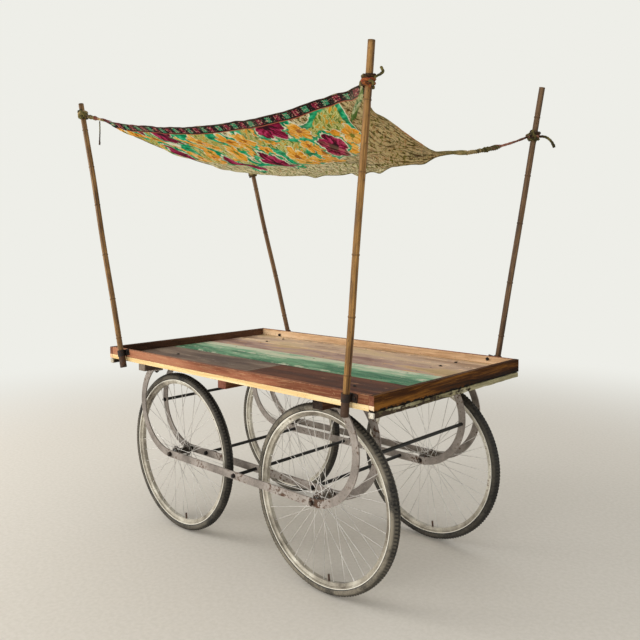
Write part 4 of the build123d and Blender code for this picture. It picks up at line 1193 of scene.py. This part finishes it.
# Woods and paints, each dark, middle and pale
pine = (rgb(218, 180, 122), rgb(240, 210, 154), rgb(250, 230, 188))
brown_wood = (rgb(70, 44, 30), rgb(104, 68, 46), rgb(146, 104, 74))
tan_wood = (rgb(138, 100, 70), rgb(182, 140, 102), rgb(214, 176, 134))
grey_wood = (rgb(80, 67, 58), rgb(118, 104, 90), rgb(164, 150, 134))
dusty_wood = (rgb(70, 58, 50), rgb(104, 90, 80), rgb(140, 126, 114))
terracotta = (rgb(112, 64, 44), rgb(142, 86, 62), rgb(168, 112, 84))
dark_amber = (rgb(26, 13, 5), rgb(70, 39, 12), rgb(138, 90, 34))
umber = (rgb(44, 29, 21), rgb(72, 48, 35), rgb(100, 70, 52))
stained_tan = (rgb(184, 144, 106), rgb(224, 188, 148), rgb(242, 214, 178))
red_brown = (rgb(92, 54, 38), rgb(118, 72, 52), rgb(140, 92, 70))
mint_wood = (rgb(142, 146, 116), rgb(186, 190, 162), rgb(214, 214, 190))
pale_pine = (rgb(206, 160, 118), rgb(236, 196, 154), rgb(246, 218, 182))
below, above = "LESS_THAN", "GREATER_THAN"
edge_strip_top = 0.779
# How far in from a face its own tones reach
skin = 0.0012
bearer_end_depth = 0.0025
batten_end_depth = 0.006


def front_end(low, tones, depth):
    """Tones of a board's front end, as far in as the depth."""
    return ((((1, below, low.y + depth),), tones),)


def end_grain(low):
    """The front end of an end rail: red brown above and raw below, as the front rail and its strip are."""
    front = (1, below, low.y + skin)
    return (((front,), red_brown), ((front, (2, below, edge_strip_top)), pale_pine))


# Rails: the pale tones at their edges are worn paint and painted highlight
low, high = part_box("front_rail")
front_paint = board_finish(
    "front_rail_paint", low, high, tan_wood, terracotta, bare=0.12, edge=rgb(204, 152, 114),
    faces=((((1, above, high.y - skin),), umber),), fade=(0, -0.3, 0.83, -0.09),
)
add_board("front_rail_board", low, high, front_paint, "rail_paint", "front_rail", seed=1.0)
low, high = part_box("back_rail")
back_paint = board_finish(
    "back_rail_paint", low, high, tan_wood, terracotta, bare=0.2, edge=rgb(150, 104, 70),
    faces=front_end(low, stained_tan, skin),
)
add_board("back_rail_board", low, high, back_paint, "rail_paint", "back_rail", seed=2.0)
low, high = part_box("left_rail")
left_varnish = board_finish(
    "left_rail_varnish", low, high, brown_wood, umber, along=along_y, bare=0.3, edge=rgb(110, 76, 54),
    faces=end_grain(low),
)
add_board("left_rail_board", low, high, left_varnish, "end_varnish", "left_rail", seed=3.0)
low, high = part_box("right_rail")
right_varnish = board_finish(
    "right_rail_varnish", low, high, dark_amber, along=along_y, worn=0.0022, edge=rgb(62, 38, 22),
    faces=end_grain(low), soiled=0.007,
)
add_board("right_rail_board", low, high, right_varnish, "end_varnish", "right_rail", seed=4.0)

# Raw strips under the long rails
strip_low, strip_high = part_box("edge_strips")
strip_thickness = 0.022
front_strip_high = Vector((strip_high.x, strip_low.y + strip_thickness, strip_high.z))
back_strip_low = Vector((strip_low.x, strip_high.y - strip_thickness, strip_low.z))
for name, low, high in (
    ("front_edge_strip", strip_low, front_strip_high),
    ("back_edge_strip", back_strip_low, strip_high),
):
    raw_pine = board_finish(f"{name}_pine", low, high, pine, edge=rgb(246, 226, 184))
    add_board(name, low, high, raw_pine, "raw_strip", "edge_strips", seed=5.0)

# Battens under the ends of the deck
batten_low, batten_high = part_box("end_battens")
batten_width = 0.026
left_batten_high = Vector((batten_low.x + batten_width, batten_high.y, batten_high.z))
right_batten_low = Vector((batten_high.x - batten_width, batten_low.y, batten_low.z))
sooty_wood = (rgb(26, 20, 15), rgb(44, 35, 27), rgb(68, 56, 44))
chipped_cream = (rgb(112, 104, 72), rgb(168, 160, 124), rgb(214, 208, 182))
pale_ends = (rgb(142, 132, 114), rgb(190, 182, 164), rgb(220, 214, 200))
for name, low, high, bare in (
    ("left_end_batten", batten_low, left_batten_high, 1.2),
    ("right_end_batten", right_batten_low, batten_high, 0.6),
):
    chipped = board_finish(
        f"{name}_paint", low, high, sooty_wood, chipped_cream, along=along_y, bare=bare, worn=0.006,
        edge=rgb(84, 74, 56), faces=front_end(low, pale_ends, batten_end_depth),
    )
    add_board(
        name, low, high, chipped, "batten_wood", "end_battens",
        wobble=0.0045, step=0.008, seed=6.0,
    )

# Planks
grey_paint = (rgb(82, 62, 54), rgb(112, 94, 82), rgb(146, 128, 112))
red_paint = (rgb(52, 28, 21), rgb(80, 48, 37), rgb(112, 74, 59))
green_paint = (rgb(50, 112, 80), rgb(122, 170, 134), rgb(206, 210, 182))
pink_paint = (rgb(136, 104, 94), rgb(182, 154, 142), rgb(206, 178, 134))
tan_paint = (rgb(160, 130, 106), rgb(196, 168, 146), rgb(214, 188, 150))
# Each plank: its wood, its paint, its slot, how bare it is worn and where its paint pales
plank_finishes = {
    "front_left_plank": (grey_wood, grey_paint, "grey_plank", 0.3, None),
    "front_right_plank": (brown_wood, red_paint, "red_plank", 0.25, None),
    "green_plank": (mint_wood, green_paint, "green_plank", 0.45, (1, -0.13, 0.08, 0.10)),
    "third_plank": (tan_wood, pink_paint, "tan_plank", 0.45, None),
    "back_plank": (stained_tan, tan_paint, "tan_plank", 0.5, None),
}
plank_wear = 0.0003
for number, (name, (wood, paint, slot, bare, fade)) in enumerate(plank_finishes.items()):
    low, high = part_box(name)
    high.z -= plank_wear
    # Each plank's edges take its darkest paint tone: painted shade in the seams between planks.
    plank_paint = board_finish(
        f"{name}_paint", low, high, wood, paint,
        bare=bare, worn=0.003, edge=paint[0], fade=fade,
    )
    add_board(
        f"{name}_board", low, high, plank_paint, slot, name,
        bevel=0.0022, wobble=0.0005, seed=10.0 + number,
    )

# Bearers: their wood and the tones of their front ends
bearer_finishes = {
    "left_bearer": (dusty_wood, (rgb(104, 93, 83), rgb(132, 120, 108), rgb(158, 146, 134))),
    "middle_bearer": (brown_wood, (rgb(92, 52, 42), rgb(116, 70, 56), rgb(138, 92, 74))),
    # The right bearer's dark umber wood, and its front end darker still, are painted shade under the deck.
    "right_bearer": (umber, (rgb(28, 21, 17), rgb(40, 31, 26), rgb(58, 47, 40))),
}
for number, (name, (wood, end_tones)) in enumerate(bearer_finishes.items()):
    low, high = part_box(name)
    bearer_wood = board_finish(
        f"{name}_wood", low, high, wood,
        along=along_y, faces=front_end(low, end_tones, bearer_end_depth),
    )
    add_board(
        f"{name}_board", low, high, bearer_wood, "bearer_wood", name,
        bevel=0.0025, seed=20.0 + number,
    )

# Tyres with block treads: each point of the profile has its radius, its half width and its share of dust
tyre_profile = (
    # The bead by the rim gets no dust: its black ring is bare rubber and painted shade in the gap between
    # tyre and rim.
    (0.3204, 0.0092, 0.0),
    (0.3204, 0.0142, 0.0),
    (0.3266, 0.0150, 0.0),
    (0.3284, 0.0172, 0.1),
    (0.3302, 0.0184, 1.0),
    (0.3345, 0.0196, 1.0),
    (0.3390, 0.0198, 0.95),
    (0.3436, 0.0188, 0.8),
    (0.3472, 0.0162, 0.3),
    (0.3494, 0.0128, 0.15),
    (0.3512, 0.0085, 0.12),
    (0.3520, 0.0040, 0.12),
    (0.3522, 0.0, 0.12),
)
dust_cover = {"front_left": 0.34, "front_right": 0.68, "back_right": 0.2, "back_left": 0.34}
lug_count = 156
lug_dust = 0.42
lug_seat = (0.3496, 0.0102, 0)
lug_size = (0.0044, 0.0136, 0.0080)
lug_lean = math.radians(34)
lug_skew = math.radians(12)
lug_bevel = 0.0008
tyre_steps = 180
for place, centre in wheel_places.items():
    middle = spot(*centre)
    bm = bmesh.new()
    dust = bm.verts.layers.float.new("dust")
    outline = tyre_profile + tuple((r, -y, d) for r, y, d in reversed(tyre_profile[:-1]))
    verts = []
    for r, y, share in outline:
        vertex = bm.verts.new(middle + Vector((r, y, 0)))
        vertex[dust] = share
        verts.append(vertex)
    edges = [bm.edges.new(pair) for pair in zip(verts, verts[1:])]
    bmesh.ops.spin(
        bm, geom=verts + edges, cent=middle, axis=(0, 1, 0), angle=2 * math.pi, steps=tyre_steps,
        use_merge=True,
    )
    for side, shift in ((-1, 0.0), (1, 0.5)):
        turn = Matrix.Rotation(shift * 2 * math.pi / lug_count, 4, "Y")
        seat = Matrix.Translation((lug_seat[0], side * lug_seat[1], lug_seat[2]))
        lean = Matrix.Rotation(side * lug_lean, 4, "Z")
        skew = Matrix.Rotation(side * lug_skew, 4, "X")
        shape = Matrix.Diagonal((*lug_size, 1))
        first_place = Matrix.Translation(middle) @ turn @ seat @ lean @ skew @ shape
        lug = bmesh.ops.create_cube(bm, size=1.0, matrix=first_place)
        sharp = list({edge for vertex in lug["verts"] for edge in vertex.link_edges})
        bevelled = ease_edges(bm, sharp, lug_bevel, 1)
        lug_verts = list({vertex for face in bevelled["faces"] for vertex in face.verts})
        for vertex in lug_verts:
            vertex[dust] = lug_dust
        lug_faces = list({face for vertex in lug_verts for face in vertex.link_faces})
        lug_edges = list({edge for face in lug_faces for edge in face.edges})
        bmesh.ops.spin(
            bm, geom=lug_verts + lug_edges + lug_faces, cent=middle, axis=(0, 1, 0),
            angle=2 * math.pi * (lug_count - 1) / lug_count, steps=lug_count - 1, use_duplicate=True,
        )
    tyre_rubber = rubber_finish(f"{place}_tyre_rubber", dust_cover[place])
    add_piece(
        f"{place}_treaded_tyre", bm, tyre_rubber, f"{place}_wheel", "tyre_rubber", f"{place}_tyre",
        smooth=False,
    )


# Metal of the frame and the wheels
def each_wheel(part):
    """The names of one part of every wheel."""
    return [f"{place}_{part}" for place in wheel_places]


def coat_nodes(material, *names):
    """Give one finish to pieces that keep their built shape."""
    for name in names:
        nodes[name].data.materials.clear()
        nodes[name].data.materials.append(material)


# Each metal: its coat and its rust from dark to pale, how rusty, rough and metallic it is, and its nodes
metals = {
    "taupe_bar_paint": (
        (rgb(112, 104, 97), rgb(150, 141, 133), rgb(178, 170, 162)), (rgb(54, 40, 33), rgb(92, 70, 56)),
        0.47, 0.62, 0.0, ["front_outer_bar", "front_inner_bar", "back_inner_bar", "back_outer_bar"],
    ),
    "black_rod_paint": (
        (rgb(18, 17, 17), rgb(26, 25, 25), rgb(46, 44, 42)), (rgb(40, 30, 25), rgb(62, 47, 38)),
        0.34, 0.45, 0.0, ["cross_rods"],
    ),
    "clip_paint": (
        (rgb(22, 15, 12), rgb(34, 24, 19), rgb(60, 46, 37)), (rgb(36, 22, 16), rgb(66, 43, 31)),
        0.48, 0.62, 0.0, ["socket_clips"],
    ),
    "spoke_plating": (
        (rgb(170, 166, 160), rgb(206, 202, 196), rgb(232, 229, 224)), (rgb(92, 66, 48), rgb(126, 98, 74)),
        0.36, 0.36, 0.25, each_wheel("spokes"),
    ),
    "hub_steel": (
        (rgb(64, 58, 52), rgb(96, 88, 79), rgb(134, 126, 116)), (rgb(54, 38, 29), rgb(88, 62, 45)),
        0.46, 0.45, 0.6, ["axle_washers", "axles", *each_wheel("hub")],
    ),
    "rusty_iron": (
        (rgb(22, 18, 16), rgb(34, 28, 25), rgb(56, 47, 41)), (rgb(40, 27, 20), rgb(70, 46, 32)),
        0.46, 0.6, 0.3, ["nails", "foot_bolts", "hex_nuts", "clip_bolts"],
    ),
    "socket_steel": (
        (rgb(44, 31, 23), rgb(70, 50, 37), rgb(108, 85, 68)), (rgb(40, 26, 18), rgb(84, 55, 37)),
        0.5, 0.55, 0.2, ["pole_sockets"],
    ),
    "bearing_steel": (
        (rgb(150, 150, 150), rgb(182, 182, 182), rgb(208, 208, 208)), (rgb(84, 70, 58), rgb(120, 104, 90)),
        0.3, 0.25, 0.95, ["axle_cones", "bearing_balls"],
    ),
    # Inner tubes: brown rubber with dust on it, laid on as rust is on metal
    "tube_rubber": (
        (rgb(62, 46, 38), rgb(84, 63, 52), rgb(108, 86, 72)), (rgb(96, 88, 78), rgb(130, 120, 106)),
        0.38, 0.7, 0.0, each_wheel("inner_tube"),
    ),
}
for name, (coat, rust, share, roughness, metallic, coated) in metals.items():
    coat_nodes(metal_finish(name, coat, rust, share, roughness, metallic), *coated)

# Rims, each with a bright lip of worn metal and painted highlight
rim_lip_radius = 0.3238
rim_lip_highlight = rgb(244, 240, 228)
for place, centre in wheel_places.items():
    rim_plating = metal_finish(
        f"{place}_rim_plating",
        coat=(rgb(116, 108, 96), rgb(184, 177, 162), rgb(232, 228, 214)),
        rust=(rgb(70, 50, 37), rgb(110, 84, 62)),
        share=0.42,
        roughness=0.36,
        metallic=0.3,
        rim=(spot(*centre), rim_lip_radius, rim_lip_highlight),
    )
    coat_nodes(rim_plating, f"{place}_rim")


# Pale floor that fades into an even pale surround, and soft light
def plain_rays(g):
    """Rays that show the surround as it is: those seen directly, mirrored or through something."""
    rays = g.node("ShaderNodeLightPath").outputs
    mirrored = g.math("MAXIMUM", rays["Is Glossy Ray"], rays["Is Transmission Ray"])
    return g.math("MAXIMUM", rays["Is Camera Ray"], mirrored)


surround_tone = rgb(238, 238, 232)
floor_reach = 15
fade_start = 2.0
fade_stop = 5.2
floor_bm = bmesh.new()
bmesh.ops.create_grid(floor_bm, x_segments=1, y_segments=1, size=floor_reach)
floor_mesh = bpy.data.meshes.new("floor")
floor_bm.to_mesh(floor_mesh)
floor_bm.free()
floor = bpy.data.objects.new("floor", floor_mesh)
bpy.context.scene.collection.objects.link(floor)
floor_material, g, shader = finish("floor")
grit = g.noise(object_place(g), 60.0, 4.0)
g.feed(shader.inputs["Base Color"], g.tones(grit, (0.35, rgb(217, 211, 200)), (0.65, rgb(224, 218, 208))))
shader.inputs["Roughness"].default_value = 0.95
far = g.span(g.vector("LENGTH", object_place(g)), fade_start, fade_stop)
pale = g.node("ShaderNodeEmission", {"Color": surround_tone, "Strength": 1.0})
faded = g.node("ShaderNodeMixShader", {
    0: g.times(far, plain_rays(g)),
    1: shader.outputs[0],
    2: pale.outputs[0],
})
g.feed(floor_material.node_tree.nodes["Material Output"].inputs["Surface"], faded.outputs[0])
floor_mesh.materials.append(floor_material)


def add_lamp(name, place, aim, size, power, colour):
    """A square lamp that faces its aim."""
    data = bpy.data.lights.new(name, "AREA")
    data.shape = "SQUARE"
    data.size = size
    data.energy = power
    data.color = colour
    lamp = bpy.data.objects.new(name, data)
    lamp.location = place
    lamp.rotation_mode = "QUATERNION"
    lamp.rotation_quaternion = (Vector(place) - Vector(aim)).to_track_quat("Z", "Y")
    bpy.context.scene.collection.objects.link(lamp)


add_lamp("window", (-4.4, -4.0, 2.9), aim=(0, 0, 1.0), size=3.0, power=185, colour=(1.0, 0.98, 0.95))
add_lamp("low_fill", (0.8, -5.6, 0.8), aim=(0, 0, 1.6), size=2.5, power=115, colour=(1.0, 0.98, 0.94))
world = bpy.data.worlds.new("surround")
bpy.context.scene.world = world
world.use_nodes = True
world.node_tree.nodes.clear()
surround = Graph(world.node_tree)
light = surround.node("ShaderNodeBackground", {"Color": rgb(246, 246, 244), "Strength": 0.78})
seen = surround.node("ShaderNodeBackground", {"Color": surround_tone, "Strength": 1.0})
both = surround.node("ShaderNodeMixShader", {
    0: plain_rays(surround),
    1: light.outputs[0],
    2: seen.outputs[0],
})
surround.node("ShaderNodeOutputWorld", {0: both.outputs[0]})
